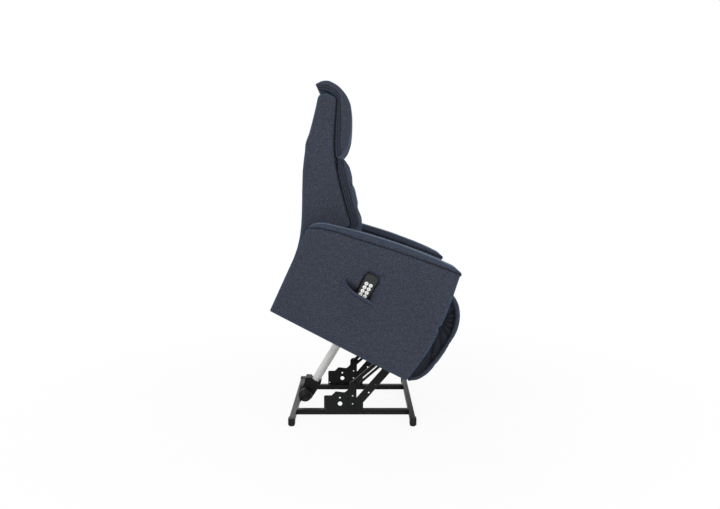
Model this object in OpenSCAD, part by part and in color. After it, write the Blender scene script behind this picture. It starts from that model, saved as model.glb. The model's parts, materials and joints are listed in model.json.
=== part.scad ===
// Lift recliner chair, drawn at the top of its lift: the seat is tipped forward on its lift arms.
// Millimetres. +X is the chair's front, +Y the sitter's left, +Z up. The origin lies on the floor,
// under the middle of the whole chair.

/* [Base frame] */
// Place of the rear cross tube, from the origin (negative is behind)
rear_x = -352.5; // [-380:2.5:-330]
// Distance between the rear and the front cross tube
base_len = 570; // [540:5:620]
// Length of each cross tube, across the chair
base_w = 672; // [620:4:720]
// Side of the square steel tube
tube = 25; // [20:1:28]
// Wall of the square steel tube
tube_wall = 2; // [1.5:0.5:3]
// Height of the tubes above the floor
foot_h = 10; // [8:1:14]
// Distance between the centres of the two side rails
rail_gap = 388; // [380:2:396]
// Length of a foot cap along its cross tube
cap_len = 30; // [22:1:40]
// Thickness of the lift brackets and posts
bracket_t = 5; // [4:0.5:6]

/* [Lift linkage] */
// Forward tip of the chair at the top of the lift, in degrees
lift_tilt = 27.8; // [24:0.2:30]
// Distance from the rear cross tube to the lower arms' pivot
lower_pivot_run = 316; // [300:2:330]
// Height of the lower arms' pivot above the floor
lower_pivot_h = 54; // [50:1:60]
// Height of the upper arms' pivot above the lower one
upper_pivot_rise = 106; // [96:1:116]
// How far the upper arms' pivot lies behind the lower one
upper_pivot_back = 30; // [26:1:34]
// Lower arm, pivot to pivot
lower_arm_len = 285; // [270:1:300]
// Slope of the lower arm at the top of the lift, in degrees
lower_arm_slope = 53; // [50:0.5:56]
// Upper arm, pivot to pivot
upper_arm_len = 300; // [285:1:315]
// Slope of the upper arm at the top of the lift, in degrees
upper_arm_slope = 41; // [38:0.5:44]
// Width of the lower arm's flat bar
lower_arm_w = 40; // [34:1:44]
// Height of the upper arm's channel
upper_arm_h = 35; // [30:1:38]
// Width of the see-through slot along the upper arm
arm_slot = 5.5; // [3:0.5:7]
// Radius of the lift pivot pins
pivot_r = 6; // [5:0.5:7]
// Lower arms' front pivot, ahead of the side panels' rear corner
seat_pivot_x = 640; // [630:2:650]
// Lower arms' front pivot, above the side panels' lower edge
seat_pivot_z = 21; // [20:1:30]

/* [Lift actuator] */
// How far the actuator's rear pivot lies ahead of the rear cross tube
actuator_run = 35; // [32:1:40]
// Height of the actuator's rear pivot above the floor
actuator_h = 26; // [24:1:30]
// Slope of the actuator at the top of the lift, in degrees
actuator_slope = 59.1; // [57:0.1:61]
// Actuator, pivot to pivot, at the top of the lift
actuator_len = 590; // [575:1:605]
// Radius of the actuator's guide tube
guide_r = 21; // [18:0.5:22]
// Length of the guide tube
guide_len = 215; // [190:1:220]
// Radius of the piston rod
piston_r = 10; // [8:0.5:11]
// Radius of the motor can
motor_r = 33; // [28:1:34]
// Length of the motor can, out of the gearbox
motor_len = 62; // [52:1:80]

/* [Side panels] */
// Length of a side panel along its lower edge
panel_len = 695; // [680:5:720]
// Thickness of a side panel, across the chair
panel_t = 130; // [115:1:140]
// Clear width between the side panels
seat_w = 536; // [532:2:556]
// Height of the arm at its front
arm_front_h = 550; // [530:2:570]
// Height of the arm at its rear corner
arm_rear_h = 412; // [400:2:430]
// How far the front edge of an arm swells forward
panel_belly = 19; // [10:1:24]
// Thickness of the arm pad at its middle
arm_pad_t = 24; // [18:1:30]

/* [Seat] */
// Length of the seat cushion
cushion_len = 480; // [460:2:490]
// Thickness of the seat cushion
cushion_t = 62; // [50:1:70]
// Height of the seat deck above the side panels' lower edge
deck_h = 383; // [370:1:390]
// Thickness of the wooden seat boards
board_t = 25; // [18:1:25]
// Thickness of the steel side plates
side_plate_t = 4; // [3:0.5:5]

/* [Back] */
// Recline hinge, ahead of the side panels' rear corner
recline_x = 95; // [90:1:105]
// Recline hinge, above the side panels' lower edge
recline_z = 330; // [320:1:335]
// Height of the back's top above the side panels' lower edge
back_h = 1045; // [1000:5:1080]
// How far the back's top reaches behind the recline hinge
back_reach = 391; // [370:1:400]
// Width of the back
back_w = 516; // [500:2:520]
// Thickness of the back shell's side walls
shell_side_t = 20; // [14:1:22]
// Thickness of the back shell's rear wall
shell_rear_t = 26; // [20:1:32]

/* [Footrest] */
// Length of each footrest link, pivot to pivot
link_len = 190; // [180:1:200]
// Width of a footrest link
link_w = 24; // [20:1:28]
// Thickness of a footrest link
link_t = 5; // [4:0.5:5]
// Slope of the rear link with the footrest closed, in degrees
rear_link_slope = -115.2; // [-118:0.2:-112]
// Slope of the front link with the footrest closed, in degrees
front_link_slope = 22.2; // [20:0.2:24]
// Width of the footrest pad
footrest_w = 510; // [480:2:520]
// Height of the footrest board
footrest_h = 412; // [390:2:424]
// How far the footrest board hangs below the side panels' lower edge
footrest_drop = 8; // [0:1:14]
// Thickness of the footrest, from the board's rear face to the middle of the pad
footrest_t = 101; // [85:1:110]
// Thickness of the footrest board
footrest_board_t = 12; // [9:1:15]

/* [Handset] */
// Middle of the handset, ahead of the side panels' rear corner
handset_x = 339.5; // [325:0.5:350]
// Foot of the handset above the side panels' lower edge
handset_z = 211; // [200:1:220]
// Width of the handset
handset_w = 57; // [50:1:60]
// Length of the handset
handset_len = 160; // [150:2:170]
// Thickness of the handset
handset_t = 22; // [18:1:24]
// Lean of the handset out of its pocket, in degrees
handset_lean = 11.6; // [10:0.2:13]
// Depth of the handset's foot inside the side panel
handset_depth = 34; // [32:1:40]
// Diameter of a handset button
button_d = 17.5; // [14:0.5:18]
// Spacing of the two columns of buttons
button_dx = 21; // [19:0.5:24]
// Spacing of the rows of buttons
button_dz = 19.5; // [18.5:0.5:21]

/* [Hidden] */

$fn = 48;
right = -1;
left = 1;
seam = 0.3;            // gap between soft parts, and between faces that slide
running = 0.05;        // radial clearance of a pin in its hole

steel_color = "#1c1d1f";
zinc_color = "#a8abae";
plastic_color = "#26272a";
tube_color = "#c8c9c5";
wood_color = "#b9935f";
fabric_color = "#3a4150";
edge_color = "#46566b";

// ---- plane geometry, in the chair's side view ----

function dir(a) = [cos(a), sin(a)];
// v tipped forward by a degrees
function tip(v, a) = [v.x*cos(a) + v.y*sin(a), -v.x*sin(a) + v.y*cos(a)];
function unit(v) = v/norm(v);
function arc(c, r, from, to, n = 12) = [for (i = [0:n]) c + r*dir(from + (to - from)*i/n)];
function bezier(p0, p1, p2, p3, n = 8) =
  [for (i = [0:n]) let (t = i/n, u = 1 - t) u*u*u*p0 + 3*u*u*t*p1 + 3*u*t*t*p2 + t*t*t*p3];
// A flat bar from p to q with round ends
function bar(p, q, r) = let (a = atan2(q.y - p.y, q.x - p.x))
  concat(arc(p, r, a + 90, a + 270), arc(q, r, a - 90, a + 90));
// One corner of an outline rounded to radius r
function round_corner(p, q, s, r, n = 5) =
  let (a = unit(p - q), b = unit(s - q), half = acos(a*b)/2,
       c = q + unit(a + b)*r/sin(half),
       from = atan2((q + a*r/tan(half) - c).y, (q + a*r/tan(half) - c).x),
       to = atan2((q + b*r/tan(half) - c).y, (q + b*r/tan(half) - c).x),
       sweep = to - from > 180 ? to - from - 360 : to - from < -180 ? to - from + 360 : to - from)
  [for (i = [0:n]) c + r*dir(from + sweep*i/n)];
// An outline of [x, y, corner radius] points
function rounded(pts) = let (n = len(pts))
  [for (i = [0:n - 1]) let (q = pts[i], p = pts[(i + n - 1)%n], s = pts[(i + 1)%n])
    for (v = q.z > 0 ? round_corner([p.x, p.y], [q.x, q.y], [s.x, s.y], q.z) : [[q.x, q.y]]) v];
function sharp(pts) = [for (p = pts) [p.x, p.y, 0]];
function shifted(pts, d) = [for (p = pts) p + d];
function reversed(pts) = [for (i = [len(pts) - 1:-1:0]) pts[i]];

// ---- placed pieces ----

// A side-view outline, as thick as the stretch between two distances from the middle
module slab(side, inner, outer)
  translate([0, side > 0 ? outer : -inner, 0]) rotate([90, 0, 0])
    linear_extrude(outer - inner) children();
// A side-view outline across the whole width w
module across(w) translate([0, w/2, 0]) rotate([90, 0, 0]) linear_extrude(w) children();
// A round bar across the chair at p, on one side
module rod(p, r, side, inner, outer)
  translate([p.x, side > 0 ? outer : -inner, p.y]) rotate([90, 0, 0])
    cylinder(r = r, h = outer - inner);
// A round bar through the middle, w long
module axle(p, r, w) translate([p.x, w/2, p.y]) rotate([90, 0, 0]) cylinder(r = r, h = w);
// A hole in a side-view outline
module hole(p, r) translate(p) circle(r);
// What is drawn in the chair's own frame, tipped on its lift arms
module on_chair() translate([chair_at.x, 0, chair_at.y]) rotate([0, lift_tilt, 0]) children();
// A square tube across the chair, centred on p
module square_tube_y(p, w) difference() {
  translate([p.x - tube/2, -w/2, p.y - tube/2]) cube([tube, w, tube]);
  translate([p.x - tube/2 + tube_wall, -w/2 - 1, p.y - tube/2 + tube_wall])
    cube([tube - 2*tube_wall, w + 2, tube - 2*tube_wall]);
}

// ---- derived places ----

front_x = rear_x + base_len;
tube_mid_h = foot_h + tube/2;
tube_top = foot_h + tube;
rail_outer = rail_gap/2 + tube/2;
plate_outer = rail_outer + bracket_t;
post_outer = plate_outer + bracket_t;

lower_base = [rear_x + lower_pivot_run, lower_pivot_h];
upper_base = lower_base + [-upper_pivot_back, upper_pivot_rise];
lower_tip = lower_base + lower_arm_len*dir(lower_arm_slope);
upper_tip = upper_base + upper_arm_len*dir(upper_arm_slope);
chair_at = lower_tip - tip([seat_pivot_x, seat_pivot_z], lift_tilt);
function in_chair(p) = tip(p - chair_at, -lift_tilt);
seat_lower = [seat_pivot_x, seat_pivot_z];
seat_upper = in_chair(upper_tip);

arm_t = 6;                               // lower arm's bar
lower_arm_in = post_outer + seam;
lower_arm_out = lower_arm_in + arm_t;
knee_rise = 31;                          // the lower arm's straight foot
knee = lower_base + knee_rise*dir(lower_arm_slope + 33);
knee_r = 17;
upper_web_t = 4;
upper_arm_out = rail_outer - seam;
upper_arm_in = upper_arm_out - 14;       // depth of the channel
side_plate_in = lower_arm_in - seam - side_plate_t;
side_plate_out = side_plate_in + side_plate_t;

actuator_base = [rear_x + actuator_run, actuator_h];
actuator_tip = actuator_base + actuator_len*dir(actuator_slope);
seat_actuator = in_chair(actuator_tip);
gearbox_w = 60;
gearbox_top = 112;                       // along the actuator, from its rear pivot
lug_w = 24;
lug_r = 11;
ear_t = 5;
eye_w = 28;
eye_r = 14;
eye_len = 30;

panel_in = seat_w/2;
panel_out = panel_in + panel_t;
board_in = panel_in - board_t;
recline = [recline_x, recline_z];
link_in = side_plate_out + 7;            // footrest rear links
link_out = link_in + link_t;
front_link_in = link_out + 1;
front_link_out = front_link_in + link_t;
rear_link_top = [panel_len - 75, 300];
rear_link_foot = rear_link_top + link_len*dir(rear_link_slope);
board_pivot = rear_link_foot + link_len*dir(front_link_slope);
link_pin_r = 5;

// Driving curves of the upholstery, in the chair's frame
// A point of the arm: a share of its length, and of its rise from the rear corner to the front
function on_arm(u, v) = [u*panel_len, arm_rear_h + v*(arm_front_h - arm_rear_h)];
function under_arm(u, v) = on_arm(u, v) - [0, arm_pad_t];
// A point of the back: a share of its reach behind the recline hinge, and of its rise above it
function on_back(u, v) = [recline_x + u*back_reach, recline_z + v*(back_h - recline_z)];
function on_back_all(points) = [for (p = points) on_back(p.x, p.y)];
function back_bezier(points, n) =
  let (p = on_back_all(points)) bezier(p[0], p[1], p[2], p[3], n);
arm_rear = on_arm(-0.0273, 0);
arm_tip = on_arm(0.9827, 0.993);
arm_seam_curve = concat(
  bezier(arm_rear, under_arm(0.029, 0.362), under_arm(0.144, 0.536), under_arm(0.271, 0.594), 5),
  bezier(under_arm(0.282, 0.601), under_arm(0.518, 0.833), under_arm(0.748, 1.014),
         arm_tip - [6, 3], 8));
arm_top_curve = concat(
  bezier(arm_rear + [0, seam], on_arm(-0.009, 0.188), on_arm(0.037, 0.319), on_arm(0.091, 0.384), 5),
  bezier(on_arm(0.104, 0.399), on_arm(0.331, 0.703), on_arm(0.647, 1.022), on_arm(0.942, 1), 9));
arm_front_curve = bezier([panel_len + 6, 3], [panel_len + panel_belly, arm_front_h/4],
                         [panel_len + 2*panel_belly, 0.6*arm_front_h], arm_tip - [6, 3], 6);
back_rear_curve = concat(
  [on_back(-0.274, -0.182)],
  back_bezier([[-0.304, -0.057], [-0.355, 0.087], [-0.509, 0.221], [-0.627, 0.361]], 6),
  back_bezier([[-0.668, 0.408], [-0.795, 0.559], [-0.816, 0.727], [-0.923, 0.903]], 6));
back_front_curve = concat(
  on_back_all([[-0.115, -0.182], [-0.115, 0], [0.059, 0.14]]),
  back_bezier([[0.136, 0.246], [-0.064, 0.364], [-0.345, 0.517], [-0.468, 0.646]], 6),
  back_bezier([[-0.504, 0.685], [-0.57, 0.758], [-0.627, 0.839], [-0.688, 0.915]], 4));
back_top = on_back_all([[-0.752, 0.924], [-0.834, 0.927], [-0.882, 0.916]]);

// ---- base: a frame of square tube that stays on the floor ----

module rear_cross_tube() color(steel_color) square_tube_y([rear_x, tube_mid_h], base_w);
module front_cross_tube() color(steel_color) square_tube_y([front_x, tube_mid_h], base_w);

module side_rail(side) color(steel_color)
  translate([rear_x + tube/2, side*rail_gap/2 - tube/2, foot_h]) difference() {
    cube([base_len - tube, tube, tube]);
    translate([-1, tube_wall, tube_wall])
      cube([base_len - tube + 2, tube - 2*tube_wall, tube - 2*tube_wall]);
  }

cap_t = 3;
module foot_caps() color(plastic_color)
  for (x = [rear_x, front_x], side = [right, left]) {
    inner = base_w/2 + cap_t - cap_len;
    difference() {
      translate([x - tube/2 - cap_t, side > 0 ? inner : -inner - cap_len, foot_h - cap_t])
        cube([tube + 2*cap_t, cap_len, tube + 2*cap_t]);
      translate([x - tube/2, -base_w/2, foot_h]) cube([tube, base_w, tube]);
    }
    translate([x, side*(base_w/2 + cap_t - cap_len/2), 0])
      cylinder(r1 = cap_len/2 - 2, r2 = cap_len/2, h = foot_h - cap_t);
  }

ear_reach = 17;
bracket_outline = let (p = lower_base, q = upper_base, foot = foot_h + 4)
  rounded([[p.x - 170, foot, 0], [p.x + 19, foot, 0], [p.x + 21, p.y + 14, 10],
           [q.x + ear_reach, p.y + 42, 10], [q.x + ear_reach, q.y + ear_reach, ear_reach - 1],
           [q.x - ear_reach, q.y + ear_reach, ear_reach - 1], [q.x - ear_reach - 2, p.y + 88, 8],
           [p.x - 56, p.y + 79, 10], [p.x - 70, p.y + 68, 8], [p.x - 113, p.y + 73, 5],
           [p.x - 133, p.y + 53, 8], [p.x - 170, p.y + 53, 7]]);
post_foot = [upper_base.x - 0.5, tube_top + 11];
post_holes = [upper_base - [0.5, 54], upper_base - [1, 94]];
rivet_places = [post_foot, upper_base - [1, 34]];
rivet_r = 5;

module lift_bracket(side) color(steel_color) slab(side, rail_outer, plate_outer) difference() {
  polygon(bracket_outline);
  hole(lower_base + [-92, 12], 11);
  hole(lower_base + [-92.5, 42], 4.5);
  hole(lower_base + [-162, -12], 3);
  for (p = post_holes) hole(p, 4);
  for (p = rivet_places) hole(p, rivet_r);
  for (p = [lower_base, upper_base]) hole(p, pivot_r + running);
}

module lift_post(side) color(steel_color) slab(side, plate_outer, post_outer) difference() {
  polygon(bar(post_foot, upper_base, 18.5));
  for (p = post_holes) hole(p, 4);
  for (p = rivet_places) hole(p, rivet_r);
  hole(upper_base, pivot_r + running);
}

// Fixed rivets of the posts, and the pins that the lift arms turn on
module bracket_rivets() color(steel_color)
  for (side = [right, left]) {
    for (p = rivet_places) {
      rod(p, rivet_r, side, rail_outer, post_outer);
      rod(p, rivet_r + 4, side, post_outer, post_outer + 2.5);
    }
    rod(upper_base, pivot_r, side, upper_arm_out - upper_web_t - seam, post_outer + 1);
    rod(upper_base, pivot_r + 4, side, upper_arm_out - upper_web_t - seam - 3,
        upper_arm_out - upper_web_t - seam);
    rod(upper_base, pivot_r + 6, side, post_outer, post_outer + 4);
    rod(lower_base, pivot_r, side, rail_outer - 1, lower_arm_out + seam);
    rod(lower_base, pivot_r + 4, side, rail_outer - 3, rail_outer);
    rod(lower_base, pivot_r + 5, side, plate_outer, lower_arm_in - seam);
    rod(lower_base, pivot_r + 5, side, lower_arm_out + seam, lower_arm_out + seam + 3);
  }

clevis_plate_t = 4;
module motor_clevis() color(steel_color) {
  face_x = rear_x + tube/2;
  translate([face_x, -lug_w/2 - seam - ear_t - 8, foot_h + 1])
    cube([clevis_plate_t, lug_w + 2*(seam + ear_t + 8), tube - 2]);
  for (side = [right, left]) slab(side, lug_w/2 + seam, lug_w/2 + seam + ear_t) difference() {
    polygon(bar([face_x + clevis_plate_t + lug_r, actuator_base.y], actuator_base, lug_r));
    hole(actuator_base, pivot_r + running);
  }
  for (side = [right, left]) slab(side, lug_w/2 + seam, lug_w/2 + seam + ear_t)
    polygon([[face_x + clevis_plate_t, actuator_base.y - lug_r],
             [face_x + clevis_plate_t + lug_r/2, actuator_base.y - lug_r],
             [face_x + clevis_plate_t + lug_r/2, actuator_base.y + lug_r/2],
             [face_x + clevis_plate_t, actuator_base.y + lug_r/2]]);
}

module motor_clevis_pin() color(zinc_color) {
  ear_out = lug_w/2 + seam + ear_t;
  axle(actuator_base, pivot_r, 2*ear_out + 2);
  for (side = [right, left]) rod(actuator_base, pivot_r + 3, side, ear_out, ear_out + 2.5);
}

// ---- lift arms ----

module lower_arm(side) color(steel_color) slab(side, lower_arm_in, lower_arm_out) difference() {
  union() {
    polygon(bar(lower_base, knee, knee_r));
    polygon(bar(knee, lower_tip, lower_arm_w/2));
  }
  hole(lower_base, pivot_r + running);
  hole(lower_tip, pivot_r + running);
  along = unit(lower_tip - knee);
  inset = lower_arm_w/2 - 12;
  for (t = [60, 111]) hole(knee + t*along + inset*[along.y, -along.x], 4.2);
}

module upper_arm(side) color(steel_color) {
  a = upper_arm_slope;
  n = dir(a + 90);                         // across the arm, upwards
  top = 0.37*upper_arm_h;
  foot = top - upper_arm_h;
  low_bar = 12;                            // below the slot
  web = [for (v = [[-13, foot], [upper_arm_len + 17, foot], [upper_arm_len + 17, top], [-13, top]])
    upper_base + v.x*dir(a) + v.y*n];
  slot_mid = foot + low_bar + arm_slot/2;
  slab(side, upper_arm_out - upper_web_t, upper_arm_out) difference() {
    polygon(rounded([for (v = web) [v.x, v.y, 9]]));
    polygon(bar(upper_base + 28*dir(a) + slot_mid*n,
                upper_base + (upper_arm_len - 28)*dir(a) + slot_mid*n, arm_slot/2));
    hole(upper_base, pivot_r + running);
  }
  for (low = [foot, top - 3]) slab(side, upper_arm_in, upper_arm_out - upper_web_t)
    polygon([for (v = [[4, low], [upper_arm_len + 4, low], [upper_arm_len + 4, low + 3],
                       [4, low + 3]]) upper_base + v.x*dir(a) + v.y*n]);
  rod(upper_tip, pivot_r + 4, side, upper_arm_out - upper_web_t - 3, upper_arm_out - upper_web_t);
}

// ---- lift actuator ----

// A point t along the actuator and w to its lower front
function on_axis(t, w) = actuator_base + t*dir(actuator_slope) + w*dir(actuator_slope - 90);
module along_actuator(from) translate([on_axis(from, 0).x, 0, on_axis(from, 0).y])
  rotate([0, 90 - actuator_slope, 0]) children();
motor_at = on_axis(36, -13);
rod_tail = 296;                            // inner end of the piston, from the rear pivot
gland_len = 10;

// Housing of the gears, with a fin beside the guide tube and the motor's flange
gearbox_outline = [[16, -20, 6], [38, -44, 12], [76, -45, 8], [92, -52, 5], [105, -52, 4],
                   [117, -guide_r - 6, 4], [gearbox_top, -guide_r - 2, 1],
                   [gearbox_top, guide_r + 1.5, 1], [130, guide_r + 0.5, 1],
                   [120, 28.5, 3], [78, 30, 10], [16, 28, 9]];
flange_step = 3;
module lift_gearbox() color(plastic_color) difference() {
  union() {
    across(gearbox_w) polygon(rounded(
      [for (v = gearbox_outline) [on_axis(v.x, v.y).x, on_axis(v.x, v.y).y, v.z]]));
    across(lug_w) polygon(bar(actuator_base, on_axis(24, 0), lug_r));
    for (y = [-gearbox_w/2 - flange_step, gearbox_w/2])
      translate([motor_at.x, y + flange_step, motor_at.y]) rotate([90, 0, 0])
        cylinder(r = motor_r + 2, h = flange_step);
  }
  axle(actuator_base, pivot_r + running, gearbox_w);
  along_actuator(rod_tail - 232) cylinder(r = piston_r + 1.5, h = 100);
}

// Motor can: a barrel, a wider end cap, and a cone with a round boss
module lift_motor() color(plastic_color)
  translate([motor_at.x, -gearbox_w/2 - flange_step, motor_at.y]) rotate([90, 0, 0])
    rotate_extrude() polygon(concat(
      [[0, 0], [motor_r - 3, 0], [motor_r - 3, 0.4*motor_len], [motor_r, 0.4*motor_len + 2]],
      arc([motor_r - 5, 0.8*motor_len - 5], 5, 0, 60, 4),
      arc([7, motor_len - 6], 6, 60, 90, 3), [[0, motor_len]]));

module lift_guide_tube() color(tube_color) along_actuator(gearbox_top) difference() {
  cylinder(r = guide_r, h = guide_len);
  translate([0, 0, -1]) cylinder(r = guide_r - 3, h = guide_len - gland_len + 1);
  cylinder(r = piston_r + running, h = guide_len + 1);
}

module lift_piston() color(zinc_color) along_actuator(rod_tail)
  cylinder(r = piston_r, h = actuator_len - eye_len - rod_tail);

module lift_piston_eye() color(plastic_color) {
  along_actuator(actuator_len - eye_len) cylinder(r = piston_r + 3, h = 14);
  across(eye_w) polygon(bar(on_axis(actuator_len - 16, 0), actuator_tip, eye_r));
}

// ---- chassis: what the lift arms carry ----

flange_t = 4;
plate_top = deck_h - 51;
crossbar_at = seat_actuator + [0, 38];
rear_crossbar_at = [recline_x + 155, plate_top - 22];
side_plate_outline = let (p = seat_lower, q = seat_upper, c = crossbar_at, front = panel_len - 30)
  rounded([[p.x - 28, p.y - 19, 10], [p.x + 24, p.y - 19, 14], [p.x + 34, p.y + 32, 14],
           [q.x + 38, q.y + 42, 20], [front - 20, plate_top - 104, 20], [front, plate_top - 40, 14],
           [front, plate_top, 6], [recline.x + 115, plate_top, 12],
           [recline.x + 69, recline.y + 22, 16], [recline.x - 26, recline.y + 22, 18],
           [recline.x - 30, recline.y - 28, 14], [recline.x + 40, recline.y - 42, 24],
           [c.x - 96, plate_top - 46, 40], [c.x - 26, c.y + 14, 20], [c.x - 22, c.y - 24, 12],
           [c.x + 22, c.y - 24, 12], [c.x + 26, c.y + 14, 20], [c.x + 110, plate_top - 70, 34],
           [q.x - 44, plate_top - 110, 30], [q.x - 34, q.y + 4, 30]]);

module side_plate(side) color(steel_color) on_chair() {
  slab(side, side_plate_in, side_plate_out) difference() {
    polygon(side_plate_outline);
    hole(seat_lower, pivot_r + running);
    hole(recline, pivot_r + running);
    hole(rear_link_top, link_pin_r + running);
    hole([seat_upper.x + 10, (seat_upper.y + plate_top)/2 - 10], 15);
    for (i = [0:2]) hole([recline.x + 235 + 80*i, plate_top - 20], 9);
  }
  rod(seat_upper, pivot_r + 6, side, upper_arm_out + seam, side_plate_in);
  rod(seat_upper, pivot_r + 3, side, side_plate_out, side_plate_out + 2);
  slab(side, side_plate_out, board_in)
    polygon([[recline.x + 120, plate_top - flange_t], [panel_len - 40, plate_top - flange_t],
             [panel_len - 40, plate_top], [recline.x + 120, plate_top]]);
}

// Pins that join the side plates to the lower arms, the back and the footrest links
back_rail_in = side_plate_out + 0.8;
back_rail_t = 5;
module chassis_pins() color(zinc_color) on_chair() for (side = [right, left]) {
  rod(seat_lower, pivot_r, side, side_plate_in - 1, lower_arm_out + seam);
  rod(seat_lower, pivot_r + 4, side, side_plate_in - 3, side_plate_in);
  rod(seat_lower, pivot_r + 5, side, lower_arm_out + seam, lower_arm_out + seam + 3);
  rod(recline, pivot_r, side, side_plate_in - 1, back_rail_in + back_rail_t + seam);
  rod(recline, pivot_r + 4, side, side_plate_in - 3, side_plate_in);
  rod(recline, pivot_r + 4, side, back_rail_in + back_rail_t + seam, back_rail_in + back_rail_t + 3);
  rod(rear_link_top, link_pin_r, side, side_plate_in - 1, link_out + seam);
  rod(rear_link_top, link_pin_r + 4, side, side_plate_in - 3, side_plate_in);
  rod(rear_link_top, link_pin_r + 5, side, side_plate_out, link_in - seam);
  rod(rear_link_top, link_pin_r + 3, side, link_out + seam, link_out + seam + 0.6);
}

module lift_crossbar() color(steel_color) on_chair() {
  square_tube_y(crossbar_at, 2*side_plate_in);
  for (side = [right, left]) {
    ear_in = eye_w/2 + seam;
    slab(side, ear_in, ear_in + ear_t) difference() {
      polygon(bar(crossbar_at - [0, 18], seat_actuator, eye_r + 2));
      translate(crossbar_at - [tube/2, tube/2]) square(tube);
    }
    rod(seat_actuator, pivot_r + 3, side, ear_in + ear_t, ear_in + ear_t + 3);
  }
}

module rear_crossbar() color(steel_color) on_chair() square_tube_y(rear_crossbar_at, 2*side_plate_in);

control_w = 150;
module control_box() color(plastic_color) on_chair() difference() {
  top = rear_crossbar_at.y - tube/2;
  union() {
    translate([rear_crossbar_at.x - 45, -control_w/2, top - 42]) cube([90, control_w, 38]);
    translate([rear_crossbar_at.x - 15, -control_w/2 + 12, top - 4]) cube([30, control_w - 24, 4]);
  }
  // low-voltage inlet in the rear face
  translate([rear_crossbar_at.x - 46, control_w/4, top - 23]) rotate([0, 90, 0]) cylinder(r = 5, h = 13);
}

deck_t = 12;
board_top = deck_h + deck_t;
seat_rear_x = recline_x + 119;
seat_front_x = panel_len - 7;
rail_foot = plate_top + 1;
module seat_side_rail(side) color(wood_color) on_chair() slab(side, board_in, panel_in)
  translate([recline_x + 17, recline_z - 25])
    square([seat_front_x - recline_x - 17, board_top - recline_z + 25]);
module seat_cross_rail(x) color(wood_color) on_chair()
  translate([x, -board_in, rail_foot]) cube([board_t, 2*board_in, deck_h - rail_foot]);

vent_r = 16;
module seat_deck() color(wood_color) on_chair() difference() {
  length = seat_front_x - seat_rear_x;
  translate([seat_rear_x, -board_in, deck_h]) cube([length, 2*board_in, deck_t]);
  for (i = [1:5], j = [-1:1])
    translate([seat_rear_x + length*(i - 0.36)/5.3, j*0.53*board_in, deck_h - 1])
      cylinder(r = vent_r, h = deck_t + 2);
}

module seat_cushion() color(fabric_color) on_chair() across(seat_w - 12) {
  z = board_top + seam;
  front = panel_len;
  polygon(rounded([[front - cushion_len, z, 12], [front - 4, z, 8], [front - 1, z + cushion_t - 22, 16],
                   [front - 34, z + cushion_t, 30], [front - cushion_len/2, z + cushion_t + 3, 60],
                   [front - cushion_len, z + cushion_t - 10, 16]]));
}

module on_handset() on_chair()
  translate([handset_at.x, handset_depth - panel_out, handset_at.y]) rotate([handset_lean, 0, 0])
    children();
handset_at = [handset_x, handset_z];

module arm_panel(side) color(fabric_color) on_chair() slab(side, panel_in, panel_out)
  polygon(rounded(concat([[0, 0, 6], [panel_len, 0, 4]], sharp(arm_front_curve),
                         sharp(reversed(arm_seam_curve)))));
module arm_panel_right() difference() {
  arm_panel(right);
  on_handset() translate([-handset_w/2 - 1, -90, -1]) cube([handset_w + 2, 90.5, handset_len + 90]);
}
module arm_pad(side) color(edge_color) on_chair() slab(side, panel_in, panel_out)
  polygon(concat(shifted(arm_seam_curve, [0, seam]), [arm_tip], reversed(arm_top_curve)));

// The pocket's cloth mouth, a sewn flap over the handset's foot
pocket_t = 3;
module handset_pocket() color(edge_color) on_chair() slab(right, panel_out, panel_out + pocket_t)
  polygon(shifted(concat(bezier([-117.5, 87], [-77.5, 39], [-39.5, 43], [56.5, 42], 8),
                         bezier([90.5, 29], [130.5, 11], [160.5, -11], [188.5, -33], 4),
                         [[160.5, -41], [-9.5, -25], [-99.5, 3]]), handset_at));

// ---- back ----

module back_frame() color(steel_color) on_chair() {
  knots = [recline, on_back(-0.0281, 0.1315), on_back(-0.422, 0.5175), on_back(-0.7289, 0.8392)];
  widths = [22, 20, 18];
  for (side = [right, left]) slab(side, back_rail_in, back_rail_in + back_rail_t) difference() {
    for (i = [0:2]) polygon(bar(knots[i], knots[i + 1], widths[i]));
    hole(recline, pivot_r + running);
  }
  for (p = [knots[1] + [0, 14], knots[2], knots[3] - [0, 14]])
    square_tube_y(p, back_w - 2*shell_side_t);
}

module back_shell() color(fabric_color) on_chair() difference() {
  across(back_w) polygon(concat(back_front_curve, back_top, reversed(back_rear_curve)));
  across(back_w - 2*shell_side_t) polygon(concat(
    [for (p = back_rear_curve) if (p.y < on_back(0, 0.88).y)
      p + [shell_rear_t, p == back_rear_curve[0] ? -10 : 0]],
    [on_back(-0.8465, 0.8895), on_back(-0.3964, 0.8895),
     on_back(0.4731, 0.2378), on_back(0.4731, -0.1958)]));
}

cushion_gap = [0.4, 0.2];
lumbar_front = concat(
  [on_back(-0.325, 0.61)],
  back_bezier([[-0.263, 0.597], [-0.09, 0.503], [0.064, 0.386], [0.197, 0.31]], 6),
  back_bezier([[0.243, 0.284], [0.284, 0.238], [0.304, 0.207], [0.279, 0.187]], 4));
lumbar_rear = [for (p = back_front_curve)
  if (p.y > on_back(0, 0.1413).y && p.y < on_back(0, 0.5594).y) p + cushion_gap];
module lumbar_cushion() color(fabric_color) on_chair() across(back_w - 6)
  polygon(concat([on_back(-0.361, 0.571)], lumbar_front,
                 on_back_all([[0.141, 0.171], [0.084, 0.148]]), lumbar_rear));

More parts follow.
